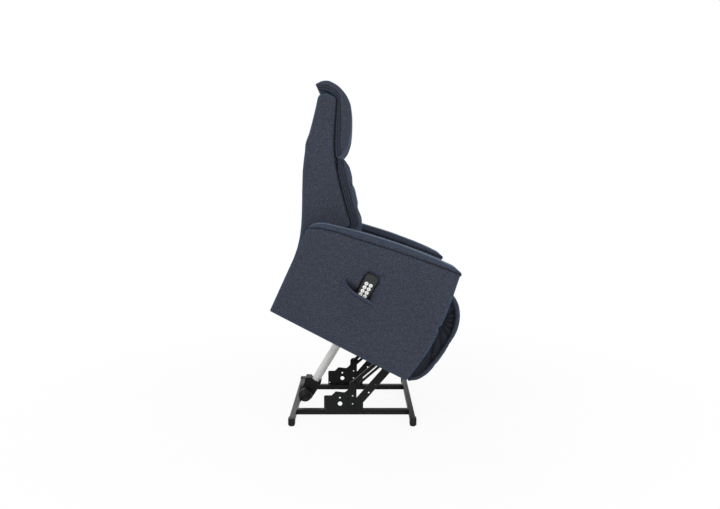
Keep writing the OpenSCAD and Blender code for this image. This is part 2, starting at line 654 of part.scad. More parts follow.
headrest_front = concat(
  back_bezier([[-0.325, 0.615], [-0.31, 0.666], [-0.361, 0.752], [-0.427, 0.825]], 5),
  back_bezier([[-0.463, 0.864], [-0.55, 0.979], [-0.708, 1.001], [-0.826, 1]], 7),
  back_bezier([[-0.882, 0.999], [-0.954, 0.987], [-0.985, 0.954], [-1, 0.933]], 4));
headrest_rear = [for (p = back_front_curve)
  if (p.y > on_back(0, 0.5734).y && p.y < on_back(0, 0.9091).y) p + cushion_gap];
module headrest_cushion() color(fabric_color) on_chair() across(back_w - 2)
  polygon(concat(headrest_front,
                 on_back_all([[-0.934, 0.91], [-0.885, 0.92], [-0.834, 0.932],
                              [-0.749, 0.929], [-0.685, 0.919]]),
                 reversed(headrest_rear)));

// ---- footrest ----

module link(side, p, q, inner, pin_reach) {
  slab(side, inner, inner + link_t) difference() {
    polygon(bar(p, q, link_w/2));
    hole(p, link_pin_r + running);
  }
  rod(q, link_pin_r, side, inner + link_t, pin_reach);
  rod(q, link_pin_r + 3, side, pin_reach, pin_reach + 2);
}
module footrest_rear_link(side) color(steel_color) on_chair()
  link(side, rear_link_top, rear_link_foot, link_in, front_link_out + seam);
module footrest_front_link(side) color(steel_color) on_chair()
  link(side, rear_link_foot, board_pivot, front_link_in, footrest_bracket_out + seam);

footrest_bracket_in = front_link_out + seam;
footrest_bracket_out = footrest_bracket_in + 4;
footrest_board_x = board_pivot.x + 16;
board_w = footrest_w - 24;
module footrest_board() color(wood_color) on_chair() {
  translate([footrest_board_x, -board_w/2, -footrest_drop])
    cube([footrest_board_t, board_w, footrest_h]);
  for (side = [right, left]) slab(side, footrest_bracket_in, footrest_bracket_out) difference() {
    polygon(concat(arc(board_pivot, link_w/2, 90, 270),
                   [[footrest_board_x, board_pivot.y - 34], [footrest_board_x, board_pivot.y + 34]]));
    hole(board_pivot, link_pin_r + running);
  }
}

// A point of the footrest: a share of its thickness, and of the board's height
function on_footrest(u, v) = [footrest_board_x + u*footrest_t, v*footrest_h - footrest_drop];
footrest_front_curve = concat(
  bezier(on_footrest(-0.267, 1.102), on_footrest(0.109, 1.087), on_footrest(0.644, 0.981),
         on_footrest(0.842, 0.82), 7),
  bezier(on_footrest(0.941, 0.723), on_footrest(1, 0.568), on_footrest(0.921, 0.422),
         on_footrest(0.743, 0.243), 6),
  bezier(on_footrest(0.644, 0.141), on_footrest(0.446, 0.029), on_footrest(0.208, -0.044),
         on_footrest(0.069, -0.058), 4));
// The pad's cover wraps the edges of the board, which lies in a recess of its rear face
module footrest_pad() color(fabric_color) on_chair() difference() {
  across(footrest_w) polygon(concat(footrest_front_curve,
    [on_footrest(0, -0.034), on_footrest(0, 1.02), on_footrest(-0.188, 1.039)]));
  translate([footrest_board_x - 1, -board_w/2 - 0.2, -footrest_drop - 0.2])
    cube([footrest_board_t + 1.2, board_w + 0.4, footrest_h + 0.4]);
}

// ---- handset ----

button_r = button_d/2;
button_proud = 1.4;
button_travel = 0.8;
button_depth = 4.6;
button_len = button_depth + button_proud;
top_row = 112;
function button_at(i) = [((i - 1)%2 - 0.5)*button_dx, top_row - floor((i - 1)/2)*button_dz];

module handset() color(plastic_color) on_handset() difference() {
  rotate([90, 0, 0]) linear_extrude(handset_t)
    polygon(rounded([[-handset_w/2 + 5, 0, 10], [handset_w/2 - 5, 0, 10],
                     [handset_w/2, handset_len*0.6, 30], [handset_w/2, handset_len - 4, 15],
                     [0, handset_len, 60], [-handset_w/2, handset_len - 4, 15],
                     [-handset_w/2, handset_len*0.6, 30]]));
  for (i = [1:8]) translate([button_at(i).x, -handset_t + button_depth + button_travel + 0.2,
                             button_at(i).y])
    rotate([90, 0, 0]) cylinder(r = button_r + 0.35, h = 12);
}

module button(i) color("#d9dad6") on_handset()
  translate([button_at(i).x, -handset_t + button_depth, button_at(i).y]) rotate([90, 0, 0])
    rotate_extrude() polygon([[0, 0], [button_r, 0], [button_r, button_len - 0.8],
                              [button_r - 1.2, button_len], [0, button_len]]);

rear_cross_tube();
front_cross_tube();
side_rail(right);  // side_rail_right
side_rail(left);  // side_rail_left
foot_caps();
lift_bracket(right);  // lift_bracket_right
lift_bracket(left);  // lift_bracket_left
lift_post(right);  // lift_post_right
lift_post(left);  // lift_post_left
bracket_rivets();
motor_clevis();
motor_clevis_pin();
lower_arm(right);  // lower_arm_right
lower_arm(left);  // lower_arm_left
upper_arm(right);  // upper_arm_right
upper_arm(left);  // upper_arm_left
lift_gearbox();
lift_motor();
lift_guide_tube();
lift_piston();
lift_piston_eye();
side_plate(right);  // side_plate_right
side_plate(left);  // side_plate_left
chassis_pins();
lift_crossbar();
rear_crossbar();
seat_side_rail(right);  // seat_rail_right
seat_side_rail(left);  // seat_rail_left
seat_cross_rail(seat_front_x - board_t);  // seat_rail_front
seat_cross_rail(seat_rear_x);  // seat_rail_rear
seat_deck();
seat_cushion();
control_box();
arm_panel_right();
arm_panel(left);  // arm_panel_left
arm_pad(right);  // arm_pad_right
arm_pad(left);  // arm_pad_left
handset_pocket();
back_frame();
back_shell();
lumbar_cushion();
headrest_cushion();
footrest_rear_link(right);  // footrest_rear_link_right
footrest_rear_link(left);  // footrest_rear_link_left
footrest_front_link(right);  // footrest_front_link_right
footrest_front_link(left);  // footrest_front_link_left
footrest_board();
footrest_pad();
handset();
button(1);  // button_1
button(2);  // button_2
button(3);  // button_3
button(4);  // button_4
button(5);  // button_5
button(6);  // button_6
button(7);  // button_7
button(8);  // button_8
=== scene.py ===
"""Lift recliner chair: upholstery, finishes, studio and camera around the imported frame."""

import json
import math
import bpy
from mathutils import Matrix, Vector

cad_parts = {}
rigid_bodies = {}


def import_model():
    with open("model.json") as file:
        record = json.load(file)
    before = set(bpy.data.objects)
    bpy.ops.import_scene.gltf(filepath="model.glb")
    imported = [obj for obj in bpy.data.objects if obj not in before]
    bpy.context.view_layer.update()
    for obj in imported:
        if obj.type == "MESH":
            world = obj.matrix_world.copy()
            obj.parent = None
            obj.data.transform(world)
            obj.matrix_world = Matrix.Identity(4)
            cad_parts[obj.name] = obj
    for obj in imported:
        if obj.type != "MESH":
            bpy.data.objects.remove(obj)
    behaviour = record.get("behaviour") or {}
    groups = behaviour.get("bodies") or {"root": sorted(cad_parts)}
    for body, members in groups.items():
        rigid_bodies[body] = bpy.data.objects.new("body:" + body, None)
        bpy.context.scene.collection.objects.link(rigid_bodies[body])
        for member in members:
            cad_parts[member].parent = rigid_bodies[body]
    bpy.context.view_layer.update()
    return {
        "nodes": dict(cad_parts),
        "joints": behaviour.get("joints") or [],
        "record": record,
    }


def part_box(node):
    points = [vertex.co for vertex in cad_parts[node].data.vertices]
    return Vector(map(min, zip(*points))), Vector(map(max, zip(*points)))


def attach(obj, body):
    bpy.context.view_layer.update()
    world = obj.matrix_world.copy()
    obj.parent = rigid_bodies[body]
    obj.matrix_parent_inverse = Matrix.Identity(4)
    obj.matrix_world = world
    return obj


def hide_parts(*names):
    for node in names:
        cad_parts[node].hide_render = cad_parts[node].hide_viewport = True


bl_info = {
    "name": "Lift Recliner Chair",
    "version": (1, 0, 0),
    "blender": (4, 5, 0),
    "location": "View3D > Sidebar > Recliner",
    "description": "Upholstery and finishes of a motor-lifted recliner armchair",
    "category": "Add Mesh",
}

from typing import NamedTuple

import bmesh
import bpy
import numpy as np
from bpy.props import FloatProperty, FloatVectorProperty, PointerProperty
from mathutils import Matrix, Vector, noise
from mathutils.bvhtree import BVHTree

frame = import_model()
JOINTS = {joint["name"]: joint for joint in frame["joints"]}

# ---------------------------------------------------------------- the chair's own frame

TILT_RATIO = next(
    c["ratio"] for c in frame["record"]["behaviour"]["couplings"] if c["joint"] == "chassis_tilt"
)
TILT = math.radians(JOINTS["lift"]["range_deg"][1]) * (TILT_RATIO - 1)
SEAT_PIVOT = Vector((0.640, 0.0, 0.021))  # where the lower lift arms hold the chair
TIP = Matrix.Rotation(TILT, 4, "Y")
CHAIR = Matrix.Translation(Vector(JOINTS["chassis_tilt"]["pos_m"]) - TIP @ SEAT_PIVOT) @ TIP
CHAIR_INVERSE = CHAIR.inverted()


def moved(matrix, points):
    """An array of points, each put through a matrix."""
    m = np.array(matrix)
    return np.asarray(points, float) @ m[:3, :3].T + m[:3, 3]


# ---------------------------------------------------------------- small helpers


def smooth(t):
    """Rises softly from 0 to 1 while t does."""
    t = np.clip(t, 0.0, 1.0)
    return t * t * (3 - 2 * t)


def bell(x, width):
    """1 where x is 0, and falling softly to 0 over about two widths."""
    return np.exp(-((x / width) ** 2))


def within(t, rise, fall):
    """0 at both ends of a run t from 0 to 1, and 1 between, after rise and before fall."""
    return smooth(t / rise) * smooth((1 - t) / fall)


def add_object(name, data):
    obj = bpy.data.objects.new(name, data)
    bpy.context.scene.collection.objects.link(obj)
    return obj


def turn_outward(mesh):
    """Turns the faces of a closed mesh outward."""
    work = bmesh.new()
    work.from_mesh(mesh)
    bmesh.ops.recalc_face_normals(work, faces=work.faces)
    work.to_mesh(mesh)
    work.free()


def keep_shades(mesh, shades):
    """Stores a value from 0 to 1 for each point of a mesh, under each name."""
    for name, values in shades.items():
        kept = mesh.attributes.new(name, "FLOAT", "POINT")
        kept.data.foreach_set("value", np.clip(values, 0, 1).astype(np.float32))


# ---------------------------------------------------------------- outlines from the solids


def side_outline(node):
    """The side view of an extruded solid: the outline of its outer face, in the chair's frame."""
    mesh = frame["nodes"][node].data
    points = moved(CHAIR_INVERSE, [v.co for v in mesh.vertices])
    end = points[:, 1].max()
    uses = {}
    for face in mesh.polygons:
        loop = list(face.vertices)
        if all(abs(points[i, 1] - end) < 1e-5 for i in loop):
            keys = [tuple(np.round(points[i, [0, 2]], 5)) for i in loop]
            for a, b in zip(keys, keys[1:] + keys[:1]):
                if (b, a) in uses:
                    del uses[b, a]
                else:
                    uses[a, b] = True
    after = {a: b for a, b in uses}
    start = next(iter(after))
    chain = [start]
    while after[chain[-1]] != start:
        chain.append(after[chain[-1]])
    return np.array(chain)


def nearest(outline, x, z):
    return int(np.argmin(np.hypot(outline[:, 0] - x / 1000, outline[:, 1] - z / 1000)))


def stretch(outline, start, end, through):
    """The stretch of a closed outline from start to end that passes nearest to through; all in mm."""
    a, b = nearest(outline, *start), nearest(outline, *end)
    n = len(outline)
    one = np.array([outline[(a + i) % n] for i in range((b - a) % n + 1)])
    other = np.array([outline[(a - i) % n] for i in range((a - b) % n + 1)])
    mark = np.array(through) / 1000
    near = [np.min(np.hypot(*(even(chain, 200) - mark).T)) for chain in (one, other)]
    return one if near[0] <= near[1] else other


def even(chain, count):
    """A chain of points run again through count + 1 evenly spaced points."""
    chain = np.asarray(chain, float)
    steps = np.concatenate([[0], np.cumsum(np.linalg.norm(np.diff(chain, axis=0), axis=1))])
    at = np.linspace(0, steps[-1], count + 1)
    return np.stack([np.interp(at, steps, chain[:, k]) for k in range(chain.shape[1])], 1)


def eased(chain, passes=3):
    """A chain with its inner points averaged with their neighbours."""
    chain = np.array(chain, float)
    for _ in range(passes):
        chain[1:-1] = (chain[:-2] + 2 * chain[1:-1] + chain[2:]) / 4
    return chain


def chain_length(chain):
    return float(np.linalg.norm(np.diff(chain, axis=0), axis=1).sum())


# ---------------------------------------------------------------- upholstery pads


START, END, RIGHT, LEFT, NEAR, FAR = range(6)  # the sides of a pad
END_REACH = 0.2  # how far along a pad the shape of its ends is felt
LEAST_DEPTH = 0.004
PAINTED_HIGHLIGHT_WIDTH = 0.007  # how far from an edge the painted highlight reaches


class Pad:
    """A boxed pad: a grid over a box, bent between a near and a far curve of the side view.

    u runs along both curves, v across the chair and w from the near curve to the far one. The
    pad's two ends are straight, or follow the curves that ends gives, from near to far. marks is
    called with the pad, and gives the depths under the near curve that rows of the grid follow.
    """

    def __init__(
        self, near, far, y_low, y_high, cell, round_near, round_far, ease=2, ends=(None, None),
        marks=None,
    ):
        length = (chain_length(near) + chain_length(far)) / 2
        nu, nv = [max(3, round(size / cell)) for size in (length, y_high - y_low)]
        self.near, self.far = eased(even(near, nu), ease), eased(even(far, nu), ease)
        self.length, self.width, self.y_low, self.ends = length, y_high - y_low, y_low, ends
        self.depths = np.maximum(np.hypot(*(self.far - self.near).T), LEAST_DEPTH)
        self.marks = self._mark_rows(marks(self) if marks else [], cell)
        self.counts = nu, nv, self.marks[-1][0]
        self._grid(*self.counts)
        self._place(round_near, round_far)
        self.seam = np.zeros(len(self.uvw))  # how deep in painted shade each point lies, from 0 to 1: at seams, creases and hidden faces

    def _mark_rows(self, marks, cell):
        """The grid's rows that follow a mark: each one's number, and its share of the depth along u."""
        rows, last = [(0, np.zeros(len(self.depths)))], 0.0
        for mark in [*marks, self.depths]:
            place = np.broadcast_to(mark, self.depths.shape)
            number = rows[-1][0] + max(1, round((place.mean() - last) / cell))
            rows.append((number, np.clip(place / self.depths, 0, 1)))
            last = place.mean()
        if rows[-1][0] < 3:
            rows[-1] = (3, rows[-1][1])
        return rows

    def share_of_row(self, row, u):
        """How deep a row of the grid lies, as a share of the depth; rows may be fractions."""
        knots = np.linspace(0, 1, len(self.depths))
        share = np.zeros(len(u))
        for (low, near), (high, far) in zip(self.marks, self.marks[1:]):
            part = np.clip((row - low) / (high - low), 0, 1)
            a, b = np.interp(u, knots, near), np.interp(u, knots, far)
            share = np.where(row >= low, a + (b - a) * part, share)
        return share

    def _grid(self, nu, nv, nw):
        ids = -np.ones((nu + 1, nv + 1, nw + 1), int)
        i, j, k = np.indices(ids.shape)
        shell = (i % nu == 0) | (j % nv == 0) | (k % nw == 0)
        ids[shell] = np.arange(shell.sum())
        self.ids = ids
        u = i[shell] / nu
        self.uvw = np.stack([u, j[shell] / nv, self.share_of_row(k[shell], u)], 1)
        quads, sides = [], []

        def face(sheet, side, flip):
            a, b, c, d = sheet[:-1, :-1], sheet[1:, :-1], sheet[1:, 1:], sheet[:-1, 1:]
            loop = [a, d, c, b] if flip else [a, b, c, d]
            quads.append(np.stack(loop, -1).reshape(-1, 4))
            sides.append(np.full(quads[-1].shape[0], side))

        face(ids[0], START, True)
        face(ids[-1], END, False)
        face(ids[:, 0], RIGHT, False)
        face(ids[:, -1], LEFT, True)
        face(ids[:, :, 0], NEAR, True)
        face(ids[:, :, -1], FAR, False)
        self.quads, self.sides = np.concatenate(quads), np.concatenate(sides)

    def depth_at(self, u):
        return np.interp(u, np.linspace(0, 1, len(self.depths)), self.depths)

    def _place(self, round_near, round_far):
        u, _, w = self.uvw.T
        depth = self.depth_at(u)
        high = np.stack([np.full_like(u, self.length), np.full_like(u, self.width), depth], 1)
        p = self.uvw * high
        nearness = np.stack([p, high - p], 0).min(0)
        self.edge_gap = np.sort(nearness, 1)[:, 1]  # how far a point lies from the nearest edge
        grow = smooth(w)
        far_r = round_far(u) if callable(round_far) else round_far
        r = np.minimum(round_near * (1 - grow) + far_r * grow, 0.49 * depth)[:, None]
        q = np.clip(p, r, high - r)
        d = p - q
        n = np.linalg.norm(d, axis=1, keepdims=True)
        turned = (np.abs(d) > 1e-9).sum(1, keepdims=True) > 1
        p = np.where(turned, q + d * r / np.maximum(n, 1e-9), p)
        at_u = p[:, 0] / self.length
        knots = np.linspace(0, 1, len(self.near))
        near = np.stack([np.interp(at_u, knots, self.near[:, k]) for k in (0, 1)], 1)
        far = np.stack([np.interp(at_u, knots, self.far[:, k]) for k in (0, 1)], 1)
        share = p[:, 2] / depth
        side_view = near + (far - near) * share[:, None]
        for end, curve in enumerate(self.ends):
            if curve is not None:
                side_view = side_view + self._end_shift(curve, end, share, at_u)
        self.points = np.stack([side_view[:, 0], self.y_low + p[:, 1], side_view[:, 1]], 1)
        a, b, c, _ = [self.points[self.quads[:, k]] for k in range(4)]
        if np.einsum("ij,ij->i", a, np.cross(b, c)).sum() < 0:
            self.quads = self.quads[:, ::-1]

    def _end_shift(self, curve, end, share, at_u):
        """How far each point moves for one end of the pad to follow its curve."""
        run = even(curve, 40)
        wanted = np.stack([np.interp(share, np.linspace(0, 1, 41), run[:, k]) for k in (0, 1)], 1)
        straight = self.near[-end] + (self.far[-end] - self.near[-end]) * share[:, None]
        away = (1 - at_u if end else at_u) * self.length
        return (wanted - straight) * (1 - smooth(away / END_REACH))[:, None]

    def normals(self):
        corners = self.points[self.quads]
        face = np.cross(corners[:, 2] - corners[:, 0], corners[:, 3] - corners[:, 1])
        total = np.zeros_like(self.points)
        for k in range(4):
            np.add.at(total, self.quads[:, k], face)
        return total / np.maximum(np.linalg.norm(total, axis=1, keepdims=True), 1e-12)

    def push(self, amount):
        """Moves every point out along the surface's normal."""
        self.points = self.points + self.normals() * np.asarray(amount)[:, None]

    def relax(self, weight, passes=2):
        """Averages each point with its neighbours, by weight."""
        edges = np.concatenate([self.quads[:, [k, (k + 1) % 4]] for k in range(4)])
        for _ in range(passes):
            total, count = np.zeros_like(self.points), np.zeros(len(self.points))
            np.add.at(total, edges[:, 0], self.points[edges[:, 1]])
            np.add.at(count, edges[:, 0], 1)
            mean = total / count[:, None]
            self.points += (mean - self.points) * np.asarray(weight)[:, None]

    def on(self, side):
        """1 for the points on a side of the pad, and 0 for the others."""
        axis, end = divmod(side, 2)
        return (np.abs(self.uvw[:, axis] - end) < 1e-9).astype(float)

    def cheeks(self):
        """1 for the points on either side across the chair, and 0 for the others."""
        return np.maximum(self.on(RIGHT), self.on(LEFT))

    def row_at(self, number):
        """Where a mark's row lies on the sides, as a share of the grid's rows: for trace."""
        return self.marks[number][0] / self.counts[2]

    def trace(self, side, a, b, out=0.0):
        """Points on one side of the pad, in the row frame, at shares a and b of its directions."""
        axis, end = divmod(side, 2)
        sheet = self.ids.take(-1 if end else 0, axis)
        surface = self.points + self.normals() * out
        high = np.array(sheet.shape) - 1
        at = np.stack([np.clip(a, 0, 1) * high[0], np.clip(b, 0, 1) * high[1]], 1)
        low = np.minimum(at.astype(int), high - 1)
        part = at - low
        total = 0
        for i in (0, 1):
            for j in (0, 1):
                share = abs(1 - i - part[:, 0]) * abs(1 - j - part[:, 1])
                total = total + surface[sheet[low[:, 0] + i, low[:, 1] + j]] * share[:, None]
        return moved(CHAIR, total)

    def mesh(self, name):
        mesh = bpy.data.meshes.new(name)
        mesh.from_pydata(moved(CHAIR, self.points).tolist(), [], self.quads.tolist())
        mesh.update()
        mesh.shade_smooth()
        uv = mesh.uv_layers.new(name="cloth")
        loops = self.quads.reshape(-1)
        side = np.repeat(self.sides, 4)
        u = self.uvw[loops, 0] * self.length
        v = self.uvw[loops, 1] * self.width
        w = self.uvw[loops, 2] * self.depth_at(self.uvw[loops, 0])
        first = np.where(side < RIGHT, v, u) + side * 0.373  # the sides lie apart on the cloth
        second = np.where(side < NEAR, w, v) + side * 0.211
        uv.data.foreach_set("uv", np.stack([first, second], 1).astype(np.float32).ravel())
        # A painted highlight along the pad's edges, left out where painted shade lies
        painted_highlight = bell(self.edge_gap, PAINTED_HIGHLIGHT_WIDTH) * (1 - np.clip(self.seam, 0, 1))
        keep_shades(mesh, {"painted_highlight": painted_highlight, "seam": self.seam})
        return mesh


def fold_noise(points, size, seed):
    """Soft noise from -1 to 1 at each point."""
    shift = Vector((seed * 7.31, seed * 3.17, seed * 5.53))
    return np.array([noise.noise(Vector(p) / size + shift) for p in points])


def inflate(pad, held, pressure, cap, slack=0.015, frames=20):
    """Fills the pad with air as cloth: held is how firmly each point stays, from 0 to 1.

    No point moves farther than cap, and slack is the share by which the cloth is cut larger.
    """
    mesh = bpy.data.meshes.new("filling")
    mesh.from_pydata(pad.points.tolist(), [], pad.quads.tolist())
    obj = add_object("filling", mesh)
    group = obj.vertex_groups.new(name="held")
    for level in np.unique(np.round(held, 1)):
        if level > 0:
            group.add(np.nonzero(np.round(held, 1) == level)[0].tolist(), float(level), "REPLACE")
    cloth = obj.modifiers.new("cloth", "CLOTH")
    settings = cloth.settings
    settings.quality = 5
    settings.mass = 0.4
    settings.tension_stiffness = settings.compression_stiffness = 20
    settings.shear_stiffness = 8
    settings.bending_stiffness = 2
    settings.air_damping = 2
    settings.use_pressure = True
    settings.uniform_pressure_force = pressure
    settings.effector_weights.gravity = 0
    settings.shrink_min = -slack
    settings.vertex_group_mass = "held"
    settings.pin_stiffness = 5
    cloth.point_cache.frame_start, cloth.point_cache.frame_end = 1, frames
    scene = bpy.context.scene
    for number in range(1, frames + 1):
        scene.frame_set(number)
    result = obj.evaluated_get(bpy.context.evaluated_depsgraph_get()).data
    points = np.empty(len(pad.points) * 3)
    result.vertices.foreach_get("co", points)
    step = points.reshape(-1, 3) - pad.points
    far = np.linalg.norm(step, axis=1, keepdims=True)
    pad.points = pad.points + step * np.minimum(1, cap / np.maximum(far, 1e-9))
    scene.frame_set(1)
    bpy.data.objects.remove(obj)
    bpy.data.meshes.remove(mesh)


# ---------------------------------------------------------------- node trees


class Nodes:
    """Short calls for building a node tree."""

    def __init__(self, tree):
        self.tree = tree

    def add(self, kind, inputs=None, **settings):
        node = self.tree.nodes.new(kind)
        for name, value in settings.items():
            setattr(node, name, value)
        for key, value in (inputs or {}).items():
            if isinstance(value, bpy.types.NodeSocket):
                self.tree.links.new(value, node.inputs[key])
            else:
                node.inputs[key].default_value = value
        return node

    def math(self, operation, a, b=0.0, c=0.0):
        node = self.add("ShaderNodeMath", {0: a, 1: b}, operation=operation)
        if operation in ("MULTIPLY_ADD", "SMOOTH_MIN", "COMPARE"):
            node.inputs[2].default_value = c
        return node.outputs[0]

    def mix(self, factor, a, b):
        node = self.add("ShaderNodeMix", {0: factor, 6: a, 7: b}, data_type="RGBA")
        return node.outputs[2]

    def tint(self, color, factor):
        """A colour made lighter or darker by a factor."""
        node = self.add("ShaderNodeVectorMath", {0: color, 3: factor}, operation="SCALE")
        return node.outputs[0]

    def ramp(self, value, low, high):
        node = self.add(
            "ShaderNodeMapRange", {0: value, 1: low, 2: high}, interpolation_type="SMOOTHSTEP"
        )
        return node.outputs[0]

    def noise(self, vector, scale, detail=2.0, stretch=(1, 1, 1), offset=(0, 0, 0)):
        placed = self.add("ShaderNodeMapping", {0: vector, 1: offset, 3: stretch}).outputs[0]
        kinds = {"Vector": placed, "Scale": scale, "Detail": detail}
        return self.add("ShaderNodeTexNoise", kinds).outputs[0]

    def group(self, tree, inputs):
        return self.add(self.tree.bl_idname.replace("Tree", "Group"), inputs, node_tree=tree)


def new_group(name, kind, inputs, outputs):
    """An empty node group with its sockets: inputs are (name, type, default)."""
    tree = bpy.data.node_groups.new(name, kind)
    for title, socket, default in inputs:
        made = tree.interface.new_socket(name=title, in_out="INPUT", socket_type="NodeSocket" + socket)
        if default is not None:
            made.default_value = default
    for title, socket in outputs:
        tree.interface.new_socket(name=title, in_out="OUTPUT", socket_type="NodeSocket" + socket)
    nodes = Nodes(tree)
    return tree, nodes, nodes.add("NodeGroupInput").outputs, nodes.add("NodeGroupOutput").inputs


def once(build):
    """Keeps what a builder made, so that it is built once."""
    kept = []

    def get():
        if not kept:
            kept.append(build())
        return kept[0]

    return get


# Near-black that the cloth is mixed towards as painted shade in seams, creases and hidden places
PAINTED_SHADE_COLOR = (0.003, 0.003, 0.004, 1)


@once
def weave_group():
    """Heathered plain weave: threads over and under, streaked with cool and warm yarn, with a painted
    highlight and painted shade laid on from two masks.
    """
    tree, n, given, out = new_group(
        "heathered_weave",
        "ShaderNodeTree",
        [
            ("Place", "Vector", None),
            ("Thread", "Float", 0.0016),
            ("Ground", "Color", (0.05, 0.055, 0.075, 1)),
            ("Cool yarn", "Color", (0.04, 0.07, 0.12, 1)),
            ("Warm yarn", "Color", (0.09, 0.07, 0.07, 1)),
            ("Fleck", "Float", 0.5),
            ("Painted highlight", "Float", 0.0),
            ("Seam", "Float", 0.0),
        ],
        [("Color", "Color"), ("Height", "Float"), ("Roughness", "Float")],
    )
    place = given["Place"]
    parts = n.add("ShaderNodeSeparateXYZ", {0: place}).outputs
    waves = [
        n.math("SINE", n.math("DIVIDE", n.math("MULTIPLY", part, math.pi), given["Thread"]))
        for part in parts[:2]
    ]
    over = n.math("MULTIPLY", waves[0], waves[1])
    threads = n.math("ABSOLUTE", over)

    def yarns(scale, offset):
        """Yarn that runs both ways, the one or the other on top."""
        warp = n.noise(place, scale, 1.0, stretch=(1, 0.1, 1), offset=offset)
        weft = n.noise(place, scale, 1.0, stretch=(0.1, 1, 1), offset=offset[::-1])
        return n.mix(n.ramp(over, -0.3, 0.3), warp, weft)

    # From fine to wide: single yarns, flecks, tufts and the cloth's uneven dye
    yarn, other = yarns(520, (3.1, 1.7, 0.4)), yarns(430, (8.3, 5.9, 2.2))
    cloud = n.noise(place, 42, 3.0)
    mottle = n.noise(place, 190, 3.0, offset=(4.4, 6.1, 1.3))
    dapple = n.noise(place, 150, 3.0, offset=(7.7, 2.9, 5.2))
    wash = n.noise(place, 5, 3.0)
    blue = n.math("MULTIPLY", n.math("ADD", yarn, mottle), 0.5)
    brown = n.math("MULTIPLY", n.math("ADD", other, n.math("MULTIPLY_ADD", mottle, -1.0, 1.0)), 0.5)
    cool = n.math("MULTIPLY", n.ramp(blue, 0.46, 0.58), given["Fleck"])
    warm = n.math("MULTIPLY", n.ramp(brown, 0.50, 0.62), given["Fleck"])
    color = n.mix(cool, given["Ground"], given["Cool yarn"])
    color = n.mix(warm, color, given["Warm yarn"])
    # Painted highlight: the cloth turns towards the cool yarn along edges and hems
    color = n.mix(n.math("MULTIPLY", given["Painted highlight"], 0.6), color, given["Cool yarn"])
    shade = n.math("ADD", n.math("MULTIPLY", yarn, 0.4), n.math("MULTIPLY", other, 0.3))
    shade = n.math("ADD", shade, n.math("MULTIPLY", cloud, 0.3))
    shade = n.math("ADD", shade, n.math("MULTIPLY", dapple, 1.6))
    shade = n.math("ADD", shade, n.math("MULTIPLY_ADD", wash, 0.25, -0.48))
    color = n.tint(color, shade)
    # Painted shade: seams, creases and hidden places darkened towards near-black
    color = n.mix(n.math("MULTIPLY", given["Seam"], 0.9), color, PAINTED_SHADE_COLOR)
    links = tree.links
    links.new(n.tint(color, n.math("MULTIPLY_ADD", threads, 0.3, 0.85)), out["Color"])
    height = n.math("ADD", n.math("MULTIPLY", threads, 0.7), n.math("MULTIPLY", yarn, 0.5))
    links.new(height, out["Height"])
    links.new(n.math("MULTIPLY_ADD", wash, 0.12, 0.82), out["Roughness"])
    return tree


@once
def grain_group():
    """Fine grain of a coated or moulded surface, with scuffs along its edges."""
    tree, n, given, out = new_group(
        "fine_grain",
        "ShaderNodeTree",
        [
            ("Base", "Color", (0.03, 0.03, 0.03, 1)),
            ("Scuff", "Color", (0.1, 0.1, 0.1, 1)),
            ("Grain", "Float", 900.0),
            ("Edge radius", "Float", 0.0012),
            ("Wear", "Float", 0.3),
            ("Roughness", "Float", 0.45),
            ("Mottle", "Float", 0.5),
        ],
        [("Color", "Color"), ("Height", "Float"), ("Roughness", "Float"), ("Normal", "Vector")],
    )
    place = n.add("ShaderNodeTexCoord").outputs["Object"]
    fine = n.noise(place, given["Grain"], 2.0)
    cloud = n.noise(place, 9, 4.0)
    speck = n.noise(place, 160, 3.0)
    soft = n.add("ShaderNodeBevel", {"Radius": given["Edge radius"]}, samples=4).outputs[0]
    flat = n.add("ShaderNodeNewGeometry").outputs["Normal"]
    turn = n.add("ShaderNodeVectorMath", {0: soft, 1: flat}, operation="DOT_PRODUCT").outputs["Value"]
    edge = n.math("MULTIPLY", n.ramp(turn, 0.985, 0.86), n.ramp(speck, 0.42, 0.62))
    worn = n.math("MULTIPLY", edge, given["Wear"])
    patch = n.math("MULTIPLY", n.math("SUBTRACT", cloud, 0.5), given["Mottle"])
    color = n.tint(given["Base"], n.math("ADD", patch, 1.0))
    links = tree.links
    links.new(n.mix(worn, color, given["Scuff"]), out["Color"])
    links.new(n.math("ADD", fine, n.math("MULTIPLY", speck, 0.4)), out["Height"])
    rough = n.math("ADD", given["Roughness"], n.math("MULTIPLY_ADD", cloud, 0.14, -0.07))
    links.new(rough, out["Roughness"])
    links.new(soft, out["Normal"])
    return tree


def new_material(name):
    material = bpy.data.materials.new(name)
    material.use_nodes = True
    nodes = Nodes(material.node_tree)
    shader = material.node_tree.nodes["Principled BSDF"]
    return material, nodes, shader


def wire(nodes, shader, group, bump, distance, normal=None):
    """Feeds a finish group's colour, roughness and height into the shader."""
    link = nodes.tree.links.new
    link(group.outputs["Color"], shader.inputs["Base Color"])
    link(group.outputs["Roughness"], shader.inputs["Roughness"])
    raised = {"Strength": bump, "Distance": distance, "Height": group.outputs["Height"]}
    if normal is not None:
        raised["Normal"] = normal
    link(nodes.add("ShaderNodeBump", raised).outputs[0], shader.inputs["Normal"])


